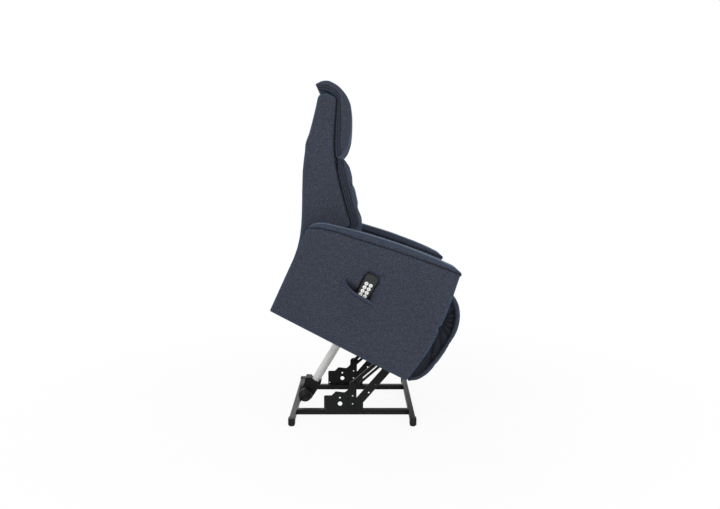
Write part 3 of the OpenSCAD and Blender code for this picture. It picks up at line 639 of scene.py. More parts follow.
def cloth_material(name, mapped, fleck, lighter=1.0):
    fabric = bpy.context.scene.recliner_fabric
    material, nodes, shader = new_material(name)
    if mapped:
        place = nodes.add("ShaderNodeUVMap", uv_map="cloth").outputs[0]
        painted_highlight = nodes.add("ShaderNodeAttribute", attribute_name="painted_highlight").outputs["Fac"]
        seam = nodes.add("ShaderNodeAttribute", attribute_name="seam").outputs["Fac"]
    # Without the mesh's masks, as on welts and stitches: a steady painted highlight of 0.6 and no painted
    # shade
    else:
        place, painted_highlight, seam = nodes.add("ShaderNodeTexCoord").outputs["Object"], 0.6, 0.0
    colors = {
        "Ground": [c * lighter for c in fabric.ground] + [1],
        "Cool yarn": [c * lighter for c in fabric.cool_yarn] + [1],
        "Warm yarn": [c * lighter for c in fabric.warm_yarn] + [1],
    }
    values = {"Place": place, "Thread": fabric.thread, "Fleck": fleck, "Painted highlight": painted_highlight, "Seam": seam}
    weave = nodes.group(weave_group(), {**values, **colors})
    wire(nodes, shader, weave, 0.35, 0.0006)
    shader.inputs["Sheen Weight"].default_value = fabric.sheen
    shader.inputs["Sheen Roughness"].default_value = fabric.sheen_roughness
    shader.inputs["Sheen Tint"].default_value = list(fabric.sheen_tint) + [1]
    shader.inputs["Specular IOR Level"].default_value = 0.12
    return material


def grained_material(
    name, base, scuff, grain, radius, wear, roughness, bump=0.15, metallic=0.0, specular=0.5, mottle=0.5
):
    material, nodes, shader = new_material(name)
    group = nodes.group(
        grain_group(),
        {
            "Base": [*base, 1],
            "Scuff": [*scuff, 1],
            "Grain": grain,
            "Edge radius": radius,
            "Wear": wear,
            "Roughness": roughness,
            "Mottle": mottle,
        },
    )
    wire(nodes, shader, group, bump, 0.0004, group.outputs["Normal"])
    shader.inputs["Metallic"].default_value = metallic
    shader.inputs["Specular IOR Level"].default_value = specular
    return material


def plywood_material():
    material, nodes, shader = new_material("plywood")
    place = nodes.add("ShaderNodeTexCoord").outputs["Object"]
    rings = nodes.noise(place, 14, 5.0, stretch=(0.35, 4, 4))
    pores = nodes.noise(place, 420, 2.0, stretch=(0.1, 1, 1))
    color = nodes.mix(nodes.ramp(rings, 0.35, 0.65), (0.42, 0.26, 0.13, 1), (0.58, 0.40, 0.22, 1))
    dark = nodes.math("MULTIPLY", nodes.ramp(pores, 0.5, 0.75), 0.35)
    color = nodes.mix(dark, color, (0.2, 0.11, 0.05, 1))
    link = nodes.tree.links.new
    link(color, shader.inputs["Base Color"])
    link(nodes.math("MULTIPLY_ADD", rings, 0.15, 0.55), shader.inputs["Roughness"])
    bump = nodes.add("ShaderNodeBump", {"Strength": 0.2, "Distance": 0.0004, "Height": pores})
    link(bump.outputs[0], shader.inputs["Normal"])
    return material


def make_finishes():
    metal = bpy.context.scene.recliner_metal
    return {
        "frame_steel": grained_material(
            "frame_steel", metal.coat, (0.12, 0.12, 0.12), 1100, 0.0012, 0.25, metal.coat_roughness,
            specular=metal.coat_gloss,
        ),
        "zinc_pin": grained_material(
            "zinc_pin", (0.5, 0.51, 0.52), (0.7, 0.7, 0.7), 1600, 0.0006, 0.3, 0.35, 0.1, 1.0
        ),
        "actuator_tube": grained_material(
            "actuator_tube", metal.tube, (0.9, 0.9, 0.88), 700, 0.001, 0.1, 0.55, 0.02, mottle=0.08
        ),
        "moulded_plastic": grained_material(
            "moulded_plastic", (0.013, 0.0132, 0.0135), (0.05, 0.05, 0.05), 1500, 0.0015, 0.3, 0.5, 0.3,
            specular=0.15,
        ),
        "handset_plastic": grained_material(
            "handset_plastic", (0.026, 0.028, 0.027), (0.08, 0.08, 0.08), 1800, 0.002, 0.2, 0.42, 0.25,
            specular=0.3,
        ),
        "button_plastic": grained_material(
            "button_plastic", (0.88, 0.89, 0.87), (0.9, 0.9, 0.88), 1200, 0.0006, 0.1, 0.4, 0.08,
            mottle=0.1,
        ),
        "plywood": plywood_material(),
        "upholstery": cloth_material("upholstery", True, 0.75),
        "upholstery_trim": cloth_material("upholstery_trim", False, 0.3, 1.12),
    }


FINISHES = {}


def finish_of(slot):
    """The finish of a material slot. The first call makes them all."""
    if not FINISHES:
        FINISHES.update(make_finishes())
    return FINISHES[slot]


def finish(obj, slot):
    """Gives a piece the finish of a material slot."""
    obj.data.materials.clear()
    obj.data.materials.append(finish_of(slot))


def dress(obj, slot, body, replaced=()):
    """Gives a piece its finish and slot, the body that it rides and the solids that it replaces."""
    finish(obj, slot)
    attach(obj, body)
    if replaced:
        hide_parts(*replaced)
    return obj


# ---------------------------------------------------------------- what follows a line


TRIM = "upholstery_trim"  # the slot of welts and stitches
STITCH_SHARE = 0.7  # a stitch's length as a share of the pitch


@once
def stitch_tree():
    """Stitches set along a line, one after another."""
    tree, n, given, out = new_group(
        "stitch_line",
        "GeometryNodeTree",
        [
            ("Line", "Geometry", None),
            ("Pitch", "Float", 0.006),
            ("Length", "Float", 0.0042),
            ("Width", "Float", 0.0009),
            ("Thread", "Material", None),
        ],
        [("Stitches", "Geometry")],
    )
    curve = n.add("GeometryNodeMeshToCurve", {0: given["Line"]}).outputs[0]
    spaced = n.add("GeometryNodeResampleCurve", {"Curve": curve, "Length": given["Pitch"]}, mode="LENGTH")
    tangent = n.add("GeometryNodeInputTangent").outputs[0]
    turned = n.add("FunctionNodeAlignRotationToVector", {"Vector": tangent}, axis="X")
    bead = n.add("GeometryNodeMeshUVSphere", {"Segments": 6, "Rings": 4, "Radius": 0.5})
    size = n.add("ShaderNodeCombineXYZ", {0: given["Length"], 1: given["Width"], 2: given["Width"]})
    placed = n.add(
        "GeometryNodeInstanceOnPoints",
        {
            "Points": spaced.outputs[0],
            "Instance": bead.outputs[0],
            "Rotation": turned.outputs[0],
            "Scale": size.outputs[0],
        },
    )
    real = n.add("GeometryNodeRealizeInstances", {0: placed.outputs[0]}).outputs[0]
    round_off = n.add("GeometryNodeSetShadeSmooth", {0: real}).outputs[0]
    done = n.add("GeometryNodeSetMaterial", {"Geometry": round_off, "Material": given["Thread"]})
    tree.links.new(done.outputs[0], out["Stitches"])
    return tree


@once
def welt_tree():
    """A cloth-covered cord along a line."""
    tree, n, given, out = new_group(
        "welt_cord",
        "GeometryNodeTree",
        [("Line", "Geometry", None), ("Radius", "Float", 0.002), ("Cloth", "Material", None)],
        [("Welt", "Geometry")],
    )
    curve = n.add("GeometryNodeMeshToCurve", {0: given["Line"]}).outputs[0]
    even_curve = n.add("GeometryNodeResampleCurve", {"Curve": curve, "Length": 0.004}, mode="LENGTH")
    profile = n.add("GeometryNodeCurvePrimitiveCircle", {"Resolution": 8, "Radius": given["Radius"]})
    tube = n.add(
        "GeometryNodeCurveToMesh",
        {"Curve": even_curve.outputs[0], "Profile Curve": profile.outputs[0], "Fill Caps": True},
    )
    round_off = n.add("GeometryNodeSetShadeSmooth", {0: tube.outputs[0]}).outputs[0]
    done = n.add("GeometryNodeSetMaterial", {"Geometry": round_off, "Material": given["Cloth"]})
    tree.links.new(done.outputs[0], out["Welt"])
    return tree


def along(name, tree, lines, values):
    """A mesh made by a geometry tree along lines of points, in the row frame."""
    points, edges = [], []
    for line in lines:
        start = len(points)
        points += [tuple(p) for p in line]
        edges += [(start + i, start + i + 1) for i in range(len(line) - 1)]
    mesh = bpy.data.meshes.new(name)
    mesh.from_pydata(points, edges, [])
    obj = add_object(name, mesh)
    modifier = obj.modifiers.new("made", "NODES")
    modifier.node_group = tree
    for item in tree.interface.items_tree:
        if item.in_out == "INPUT" and item.name in values:
            modifier[item.identifier] = values[item.name]
    made = bpy.data.meshes.new_from_object(obj.evaluated_get(bpy.context.evaluated_depsgraph_get()))
    obj.modifiers.clear()
    obj.data = made
    made.name = name
    return obj


def welt(name, line, body, radius):
    values = {"Radius": radius, "Cloth": finish_of(TRIM)}
    dress(along(name, welt_tree(), [line], values), TRIM, body)


def stitches(name, lines, body):
    pitch = bpy.context.scene.recliner_fabric.stitch_pitch
    values = {"Pitch": pitch, "Length": pitch * STITCH_SHARE, "Thread": finish_of(TRIM)}
    dress(along(name, stitch_tree(), lines, values), TRIM, body)


# ---------------------------------------------------------------- shapes of the soft pieces


def across(node):
    """A node's lowest and highest place across the chair."""
    low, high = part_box(node)
    return low.y, high.y


def seam_share(pad, line):
    """Where a side-view line crosses each column of a pad's grid, as a share of its depth."""
    share = np.full(len(pad.near), 0.9)
    order = np.argsort(line[:, 0])
    for _ in range(6):
        at = pad.near + (pad.far - pad.near) * share[:, None]
        height = np.interp(at[:, 0], line[order, 0], line[order, 1])
        share = np.clip((height - pad.near[:, 1]) / (pad.far - pad.near)[:, 1], 0, 1)
    return share


def pad_object(name, pad, body, replaced):
    dress(add_object(name, pad.mesh(name)), "upholstery", body, replaced)


SEAM_ROWS = [-0.007, -0.003, 0, 0.003, 0.007]  # rows of the mesh beside the seam under an arm's top
SEAM_WIDTH = 0.0026
ARM_FACE = []  # the right arm's surface, before the handset's hollow
# How far the arm's top is rounded, from its rear to its front
TOP_ROUNDING = [0.003, 0.018, 0.024, 0.024, 0.024, 0.024, 0.024, 0.022, 0.018, 0.010, 0.003]
TOP_STATIONS = np.linspace(0, 1, len(TOP_ROUNDING))
# Places along the arm and how much its top stands over the solid there
TOP_RISE = ([0.0, 0.45, 0.683], [-0.002, 0.0, 0.007])
FRONT_TIP = (0.692, 0.497)  # where the arm's front edge turns up to its tip


def make_arm(side):
    padding = bpy.context.scene.recliner_padding
    panel, top = side_outline("arm_panel_" + side), side_outline("arm_pad_" + side)
    near = stretch(panel, (0, 0), (695, 0), (350, 0))
    far = stretch(top, (-19, 412), (683, 549), (300, 530))
    far[:, 1] += np.interp(far[:, 0], *TOP_RISE)
    front = np.vstack([stretch(panel, (701, 3), (699, 440), (715, 244)), [FRONT_TIP], far[-1:]])
    line = stretch(panel, (-19, 412), (683, 549), (266, 493))
    low, high = across("arm_panel_" + side)

    def marks(pad):
        height = seam_share(pad, line) * pad.depths
        return [np.clip(height + step, 0.02, pad.depths - 0.0005) for step in SEAM_ROWS]

    pad = Pad(
        near, far, low, high, padding.arm_cell, 0.005,
        lambda u: np.interp(u, TOP_STATIONS, TOP_ROUNDING), ends=(None, front), marks=marks,
    )
    seam_row = 1 + SEAM_ROWS.index(0)
    at_seam = pad.marks[seam_row][1]
    u, v, w = pad.uvw.T
    at = np.interp(u, np.linspace(0, 1, len(at_seam)), at_seam)
    above = (w - at) * pad.depth_at(u)  # height over the seam
    cheek = pad.cheeks()
    crown = within(u, 0.05, 0.035) * smooth(w / 0.06) * smooth((at - w) / 0.1)
    puff = bell(above - 0.013, 0.010) * within(u, 0.05, 0.05)
    wave = fold_noise(pad.points * (1, 1, 0.45), 0.045, 1) * 0.5 + fold_noise(pad.points, 0.14, 2)
    pull = fold_noise(pad.points * (1, 1, 0.25), 0.016, 5) * bell(above, 0.03) * (above < 0)
    groove = bell(above, SEAM_WIDTH) * cheek
    lift = cheek * (crown * (0.0030 + 0.0009 * wave) + 0.0024 * puff + 0.0006 * pull)
    roof = pad.on(FAR) * within(u, 0.03, 0.05) * np.clip(4 * v * (1 - v), 0, 1) ** 0.45
    height = pad.points[:, 2]
    swell = 0.005 + 0.0015 * wave + 0.004 * bell(height - 0.2, 0.09) - 0.008 * bell(height - 0.288, 0.008)
    front_edge = pad.on(END) * within(w, 0.2, 0.3) * swell
    pad.push(lift + front_edge + roof * (0.0075 + 0.001 * wave) - 0.003 * groove)
    tip = bell(above, 0.006) * smooth((u - 0.985) / 0.015) * (cheek + pad.on(END) > 0)
    pad.points[:, 0] += 0.006 * tip
    if side == "right":
        ARM_FACE.append(BVHTree.FromPolygons(pad.points.tolist(), pad.quads.tolist()))
        groove = np.maximum(groove, seat_handset(pad))
    # The seam's groove is painted dark as shade, with the pocket's mouth and the handset's shadow
    pad.seam = groove
    pad_object("arm_" + side, pad, "chassis", ("arm_panel_" + side, "arm_pad_" + side))
    run = np.linspace(0.01, 0.985, 240)
    row = np.full(240, pad.row_at(seam_row + 2))
    lines = [pad.trace(cheek_side, run, row, 0.0002) for cheek_side in (RIGHT, LEFT)]
    stitches("arm_topstitch_" + side, lines, "chassis")


HEM, FOOT = (396, 253), (330, 186)  # points near the pocket's upper and lower edges, in mm


def hem_height(x):
    """How high the pocket's hem runs at places along the chair."""
    hem = pocket_edge(HEM)
    order = np.argsort(hem[:, 0])
    return np.interp(x, hem[order, 0], hem[order, 1])


def pocket_edge(through):
    """The pocket's outline from its rear tip to its front tip, by way of the hem or the foot."""
    return even(stretch(side_outline("handset_pocket"), (222, 298), (528, 178), through), 120)


HANDSET_ROOM = 0.004  # between the handset and its hollow


def seat_handset(pad):
    """Presses a hollow for the handset into the arm's outer side, and opens the pocket's mouth.

    Gives how deep in shade each point lies.
    """
    low, high = handset_place()
    cheek = pad.on(RIGHT)
    px, pz = pad.points[:, 0], pad.points[:, 2]
    half = (high[0] - low[0]) / 2 + HANDSET_ROOM
    middle = (high[0] + low[0]) / 2
    rim = np.maximum(np.abs(px - middle) - half, np.maximum(low[2] - 0.01 - pz, pz - high[2] - 0.002))
    inside = smooth(-rim / HANDSET_ROOM + 0.5)
    share = np.clip((pz - low[2]) / (high[2] - low[2]), 0, 1)
    back = low[1] + (high[1] - low[1]) * share + 0.0025
    above = pz - hem_height(px)
    mouth = cheek * smooth((px - 0.218) / 0.05) * smooth((0.40 - px) / 0.03)
    mouth = mouth * smooth((0.042 - above) / 0.042) * smooth((above + 0.05) / 0.03)
    toward = bell(px - low[0], 0.06)
    hollow = cheek * inside * np.maximum(back, 0.002)
    pad.points[:, 1] += np.maximum(hollow, mouth * (0.010 + 0.010 * toward))
    # A painted shadow that the handset casts on the arm to its right
    painted_handset_shadow = cheek * smooth((px - high[0] + 0.004) / 0.004) * bell(px - high[0], 0.022)
    painted_handset_shadow = painted_handset_shadow * smooth((pz - low[2]) / 0.02) * smooth((high[2] - 0.03 - pz) / 0.08)
    # Painted shade inside the pocket's mouth and in the handset's shadow
    return np.maximum(mouth * (0.35 + 0.35 * toward), 0.25 * painted_handset_shadow)


def handset_place():
    """The handset's lowest and highest corners in the chair's frame; y is how deep its back lies."""
    points = moved(CHAIR_INVERSE, [v.co for v in frame["nodes"]["handset"].data.vertices])
    face = across("arm_panel_right")[0]
    low, high = points.min(0), points.max(0)
    foot = points[points[:, 2] < low[2] + 0.012]
    tip = points[points[:, 2] > high[2] - 0.012]
    return (low[0], foot[:, 1].max() - face, low[2]), (high[0], tip[:, 1].max() - face, high[2])


HEM_ROLL = 0.0018


def make_pocket():
    """The pocket's cloth mouth: a thin flap whose hem curves round the handset."""
    hem, foot = pocket_edge(HEM), pocket_edge(FOOT)
    face = across("arm_panel_right")[0]
    share = np.linspace(0, 1, 25)
    grid = hem[:, None, :] + (foot - hem)[:, None, :] * share[None, :, None]
    plain = np.array([
        [ARM_FACE[0].ray_cast(Vector((x, face - 0.1, z)), Vector((0, 1, 0)))[0].y for x, z in row]
        for row in grid
    ])
    low, high = handset_place()
    over = smooth(1 - np.abs(grid[..., 0] - (low[0] + high[0]) / 2) / 0.075)
    run = np.linspace(0, 1, 121)[:, None]
    ends = smooth(run / 0.05) * smooth((0.66 - run) / 0.16)
    swell = over * (1 - share) ** 1.5 * np.maximum(-low[1], 0.004)
    out = (0.0024 * smooth((1 - share) / 0.5) + swell) * ends + 0.0004
    # A sewn line across the flap, pressed in and painted dark as shade
    seam = bell(share - 0.22, 0.035) * ends
    out += 0.0007 * np.sin(run * 60) * ends * np.exp(-share * 6) - 0.0012 * seam
    outer = np.stack([grid[..., 0], plain - out, grid[..., 1]], -1)
    thickness = 0.0022 * smooth((1 - share) / 0.3) * ends + 0.0007
    inner = outer + np.array([0, 1, 0]) * thickness[..., None]
    # A painted highlight along the hem's rolled edge
    painted_highlight = bell(share - 0.13, 0.045) * ends
    mesh = closed_sheet("pocket_flap", outer, inner, {"painted_highlight": painted_highlight, "seam": 0.8 * seam})
    obj = dress(add_object("pocket_flap", mesh), "upholstery", "chassis", ("handset_pocket",))
    welt("pocket_hem", moved(CHAIR, (outer[:72, 0] + inner[:72, 0]) / 2), "chassis", HEM_ROLL)
    row = outer[2:70, 4] - np.array([0, 0.0002, 0])
    stitches("pocket_hem_stitch", [moved(CHAIR, row)], "chassis")


def closed_sheet(name, outer, inner, shades):
    """A thin closed piece between two grids of points, in the row frame, with shades by name."""
    n, m = outer.shape[:2]
    points = np.concatenate([outer.reshape(-1, 3), inner.reshape(-1, 3)])
    ids = np.arange(n * m).reshape(n, m)
    front = np.stack([ids[:-1, :-1], ids[1:, :-1], ids[1:, 1:], ids[:-1, 1:]], -1).reshape(-1, 4)
    quads = [front, front[:, ::-1] + n * m]
    for rim in (ids[:, 0], ids[-1], ids[::-1, -1], ids[0][::-1]):
        quads.append(np.stack([rim[1:], rim[:-1], rim[:-1] + n * m, rim[1:] + n * m], -1))
    quads = np.concatenate(quads)
    mesh = bpy.data.meshes.new(name)
    mesh.from_pydata(moved(CHAIR, points).tolist(), [], quads.tolist())
    turn_outward(mesh)
    mesh.shade_smooth()
    uv = mesh.uv_layers.new(name="cloth")
    loops = np.empty(len(mesh.loops), int)
    mesh.loops.foreach_get("vertex_index", loops)
    uv.data.foreach_set("uv", points[loops][:, [0, 2]].astype(np.float32).ravel())
    keep_shades(mesh, {name: np.tile(values.ravel(), 2) for name, values in shades.items()})
    return mesh


CHANNEL_WIDTH = 0.008


def near_any(pad, places, width):
    """How near each point lies to one of these places along a pad, from 0 to 1."""
    u = pad.uvw[:, 0]
    return np.maximum.reduce([np.zeros(len(u))] + [bell((u - p) * pad.length, width) for p in places])


def channels(pad, places, depth):
    """Sewn channels across a pad's far side, shallow at its edges; gives how deep each point lies."""
    v = pad.uvw[:, 1]
    deep = near_any(pad, places, CHANNEL_WIDTH) * pad.on(FAR)
    pad.push(-depth * deep * (0.25 + 0.75 * np.sin(np.pi * v)))
    return deep


WELT_HEIGHT = 0.742  # of the welt across the back's rear


def make_back_shell():
    outline = side_outline("back_shell")
    near = stretch(outline, (-12, 200), (-266, 976), (-104, 488))
    far = stretch(outline, (50, 200), (-174, 984), (148, 506))
    top = stretch(outline, (-266, 976), (-174, 984), (-231, 993))
    low, high = across("back_shell")
    padding = bpy.context.scene.recliner_padding
    pad = Pad(near, far, low, high, padding.back_cell, 0.032, 0.010, ease=1, ends=(None, top))
    u, v, w = pad.uvw.T
    cheek, rear = pad.cheeks(), pad.on(NEAR)
    wave = fold_noise(pad.points * (1, 0.6, 0.6), 0.07, 3)
    middle = within(u, 0.1, 0.1)
    belly = np.sin(np.pi * np.clip(v, 0, 1)) * middle
    height = pad.near[:, 1]
    welt_at = float(np.interp(WELT_HEIGHT, height, np.linspace(0, 1, len(height))))
    groove = bell((u - welt_at) * pad.length, 0.004) * rear
    pad.push(rear * belly * (0.003 + 0.001 * wave) + cheek * middle * 0.0014 * wave - 0.002 * groove)
    ridge = bell((u - welt_at) * pad.length, 0.035) * smooth(1 - w * pad.depth_at(u) / 0.06)
    pad.points += ridge[:, None] * np.array([-0.0065, 0, 0.0025])
    # Faces hidden under the cushions are painted dark as shade
    covered = np.maximum(pad.on(FAR), pad.on(END)) * (pad.points[:, 2] > 0.5)
    covered = covered * smooth((pad.edge_gap - 0.002) / 0.006)
    # Painted shade along the wing's front edge, in the groove beside the cushions; the welt's groove is
    # painted dark as shade too
    edge = cheek * bell((1 - w) * pad.depth_at(u), 0.007) * smooth((pad.points[:, 2] - 0.5) / 0.05)
    pad.seam = np.maximum.reduce([0.7 * groove, covered, 0.9 * edge])
    pad_object("back_shell_cover", pad, "back", ("back_shell",))
    line = pad.trace(NEAR, np.full(160, welt_at), np.linspace(0.0, 1.0, 160), 0.0006)
    welt("back_rear_welt", line, "back", bpy.context.scene.recliner_fabric.welt_radius)


class Filling(NamedTuple):
    """How a cushion is meshed, sewn and filled; lengths in metres."""

    cell: float
    channel_depth: float
    pressure: float
    travel: float  # the farthest that the filling moves the cloth
    near_radius: float
    far_radius: float
    fill: float
    seed: int  # of its wrinkles


GUSSET_GROOVE = 0.0022  # depth of a seam along a cushion's side


def make_cushion(name, body, solid, near, far, cuts, gusset, filling, shape=None):
    """A channelled cushion: cuts are the channels across its face, gusset the seams along its sides.

    A gusset seam is placed by its distance from the near curve, or from the far one if negative.
    shape, if given, changes the filled pad.
    """

    def marks(pad):
        rows = [pad.depths + place if place < 0 else np.full(len(pad.depths), place) for place in gusset]
        shrink = np.minimum(1, 0.8 * pad.depths / rows[-1])
        return [np.maximum(row * shrink, 0.002) for row in rows]

    pad = Pad(near, far, *across(solid), filling.cell, filling.near_radius, filling.far_radius, marks=marks)
    pad.push(np.full(len(pad.uvw), -0.002) * (1 - pad.on(NEAR)))
    deep = channels(pad, cuts, filling.channel_depth)
    u, _, w = pad.uvw.T
    cheek = pad.cheeks()
    stripe = np.zeros(len(u))
    for row, share in pad.marks[1:-1]:
        at = np.interp(u, np.linspace(0, 1, len(share)), share)
        stripe = np.maximum(stripe, bell((w - at) * pad.depth_at(u), SEAM_WIDTH))
    stripe = stripe * cheek
    pad.push(-GUSSET_GROOVE * stripe)
    held = [pad.on(NEAR), deep, 0.9 * stripe, 0.55 * cheek, pad.on(START), pad.on(END) * 0.8]
    inflate(pad, np.clip(np.maximum.reduce(held), 0, 1), filling.pressure, filling.travel)
    wrinkle = fold_noise(pad.points * (0.5, 1.6, 0.5), 0.03, filling.seed)
    pad.push(0.0011 * wrinkle * near_any(pad, cuts, 0.03) * pad.on(FAR) * (1 - deep))
    pad.relax(0.35 * (1 - 0.9 * np.maximum(deep, stripe)))
    # Painted shade: the side against the shell, a band along each side's near edge in the groove by the
    # wing, and the channels and gusset seams
    hidden = pad.on(NEAR) * smooth((pad.edge_gap + 0.004) / 0.006)
    edge = cheek * bell(w * pad.depth_at(u), 0.005)
    pad.seam = np.maximum.reduce([0.9 * deep, 0.8 * stripe, hidden, 0.9 * edge])
    if shape:
        shape(pad)
    pad_object(name, pad, body, (solid,))
    across_face, along = np.linspace(0.02, 0.98, 120), np.linspace(0.03, 0.97, 200)
    lines = [pad.trace(FAR, np.full(120, place), across_face, 0.0003) for place in cuts]
    if lines:
        stitches(name + "_channel_stitch", lines, body)
    rows = [pad.row_at(1 + k) + 0.6 / pad.counts[2] for k in range(len(gusset))]
    lines = [pad.trace(side, along, np.full(200, row), 0.0003) for row in rows for side in (RIGHT, LEFT)]
    stitches(name + "_gusset_stitch", lines, body)


def make_lumbar():
    outline = side_outline("lumbar_cushion")
    padding = bpy.context.scene.recliner_padding
    near = stretch(outline, (-46, 738), (128, 436), (70, 590))
    far = stretch(outline, (-32, 766), (204, 464), (60, 690))
    filling = Filling(
        padding.cushion_cell, padding.channel_depth * 0.5, pressure=4.0, travel=0.006,
        near_radius=0.008, far_radius=0.014, fill=0.7, seed=10,
    )
    cuts, gusset = (0.34, 0.67), (0.012, 0.022, 0.033)
    make_cushion("lumbar_pad", "back", "lumbar_cushion", near, far, cuts, gusset, filling)


def pinch_corner(pad):
    """Draws the head cushion's rear edge out to a corner."""
    u, _, w = pad.uvw.T
    corner = smooth((u - 0.955) / 0.045) * bell(w - 0.8, 0.25)
    pad.points += corner[:, None] * np.array([-0.007, 0, 0.003])


def make_headrest():
    outline = side_outline("headrest_cushion")
    padding = bpy.context.scene.recliner_padding
    near = stretch(outline, (-60, 748), (-270, 981), (-150, 930))
    far = stretch(outline, (-32, 770), (-296, 997), (-120, 1030))
    filling = Filling(
        padding.cushion_cell, padding.channel_depth * 0.5, pressure=4.0, travel=0.006,
        near_radius=0.008, far_radius=0.040, fill=0.7, seed=12,
    )
    gusset = (0.014, 0.026)
    make_cushion("headrest_pad", "back", "headrest_cushion", near, far, (), gusset, filling, pinch_corner)


def make_seat():
    outline = side_outline("seat_cushion")
    padding = bpy.context.scene.recliner_padding
    near = stretch(outline, (215, 395), (691, 395), (450, 395))
    far = stretch(outline, (215, 447), (694, 435), (450, 460))
    filling = Filling(
        padding.seat_cell, padding.channel_depth, pressure=5.0, travel=0.014,
        near_radius=0.008, far_radius=0.020, fill=0.8, seed=8,
    )
    make_cushion("seat_pad", "chassis", "seat_cushion", near, far, (0.86,), (0.3,), filling)


BOW, LOW_BOW = 0.005, 0.006  # how far the footrest's front bows out, and how much more low down


def bowed(chain):
    """The footrest's front curve, bowed out between its ends."""
    chain = even(chain, 80)
    run = np.gradient(chain, axis=0)
    normal = np.stack([run[:, 1], -run[:, 0]], 1) / np.linalg.norm(run, axis=1)[:, None]
    normal *= np.sign(normal[:, 0].mean())
    share = np.linspace(0, 1, 81)
    amount = (BOW + LOW_BOW * smooth((share - 0.5) / 0.35)) * within(share, 0.15, 0.1)
    return chain + normal * amount[:, None]


def make_footrest():
    outline = side_outline("footrest_pad")
    padding = bpy.context.scene.recliner_padding
    near = stretch(outline, (712, 420), (731, -22), (731, 200))
    far = bowed(stretch(outline, (704, 446), (738, -32), (830, 226)))
    filling = Filling(
        padding.footrest_cell, padding.channel_depth * 0.8, pressure=4.0, travel=0.006,
        near_radius=0.002, far_radius=0.016, fill=0.7, seed=14,
    )
    make_cushion(
        "footrest_cover", "footrest", "footrest_pad", near, far, (0.5,), (-0.024,), filling, gather_sides
    )


GATHER = (0.722, 0.300)  # where the folds of the footrest's sides meet
FOLDS = (-1.25, -0.95, -0.55, -0.15, 0.25, 0.6, 0.95)  # directions of the folds, as angles


def gather_sides(pad):
    """Sinks the footrest's sides behind their border, gathers them in folds and seats the board."""
    u, v, w = pad.uvw.T
    cheek = pad.cheeks()
    share = pad.marks[1][1]
    inward = (np.interp(u, np.linspace(0, 1, len(share)), share) - w) * pad.depth_at(u)
    sunk = smooth(inward / 0.008) * smooth((w * pad.depth_at(u) - 0.001) / 0.012)
    # The folds run out from one point to the border
    x, z = pad.points[:, 0] - GATHER[0], pad.points[:, 2] - GATHER[1]
    angle, reach = np.arctan2(z, x), np.hypot(x, z)
    fold = np.zeros(len(u))
    for direction in FOLDS:
        fold = np.maximum(fold, bell((angle - direction) * reach, 0.0045))
    fold = fold * smooth(reach / 0.03) * smooth(inward / 0.004)
    puff = 0.5 * fold_noise(pad.points, 0.03, 8)
    side = np.where(v > 0.5, -1.0, 1.0) * cheek
    pad.points[:, 1] += side * (sunk * (0.009 + 0.002 * puff) + 0.005 * fold)
    # The sunk sides and their folds are painted dark as shade
    pad.seam = np.maximum(pad.seam, cheek * sunk * 0.5 + 0.4 * cheek * fold)
    # The near side is pressed in where the board lies
    low, high = across("footrest_board")
    half = (high - low) / 2
    board = side_outline("footrest_board")
    beyond = np.maximum(board[:, 1].min() - pad.points[:, 2], pad.points[:, 2] - board[:, 1].max())
    beyond = np.maximum(beyond, np.abs(pad.points[:, 1]) - half)
    deep = smooth((0.0065 - beyond) / 0.006) * pad.on(NEAR)
    floor = board[:, 0].max() + 0.0004
    pad.points[:, 0] += deep * np.maximum(floor - pad.points[:, 0], 0)


# ---------------------------------------------------------------- stage


CAMERA_PLACE = (-0.0314, -3.2734, 1.1322)
CAMERA_PITCH = -6.25  # degrees
LIT_MIDDLE = (0, 0, 0.8)  # where the lights aim


def area_light(name, place, size, power):
    """A round light that aims at the chair's middle."""
    light = bpy.data.lights.new(name, "AREA")
    light.shape = "DISK"
    light.size, light.energy = size, power
    obj = add_object(name, light)
    obj.location = place
    obj.rotation_mode = "QUATERNION"
    obj.rotation_quaternion = (Vector(LIT_MIDDLE) - obj.location).to_track_quat("-Z", "Y")


def make_floor(studio):
    """A pale floor that fades into the white background far from the chair."""
    mesh = bpy.data.meshes.new("studio_floor")
    reach = studio.floor_reach
    corners = [(x * reach, y * reach, 0) for x, y in ((-1, -1), (1, -1), (1, 1), (-1, 1))]
    mesh.from_pydata(corners, [], [(0, 1, 2, 3)])
    floor = add_object("studio_floor", mesh)
    material, nodes, shader = new_material("pale_floor")
    shader.inputs["Base Color"].default_value = [*studio.floor_color, 1]
    shader.inputs["Roughness"].default_value = 0.9
    shader.inputs["Specular IOR Level"].default_value = 0.1
    place = nodes.add("ShaderNodeTexCoord").outputs["Object"]
    away = nodes.add("ShaderNodeVectorMath", {0: place}, operation="LENGTH").outputs["Value"]
    path = nodes.add("ShaderNodeLightPath").outputs
    seen = nodes.math("MAXIMUM", path["Is Camera Ray"], path["Is Glossy Ray"])
    share = nodes.add(
        "ShaderNodeMapRange", {0: away, 1: 0.9, 2: 2.2, 3: studio.floor_white, 4: 1.0}
    ).outputs[0]
    factor = nodes.math("MULTIPLY", share, seen)
    white = nodes.add("ShaderNodeEmission", {"Color": (1, 1, 1, 1), "Strength": 1.0}).outputs[0]
    mix = nodes.add("ShaderNodeMixShader", {0: factor, 1: shader.outputs[0], 2: white})
    output = material.node_tree.nodes["Material Output"]
    material.node_tree.links.new(mix.outputs[0], output.inputs["Surface"])
    mesh.materials.append(material)


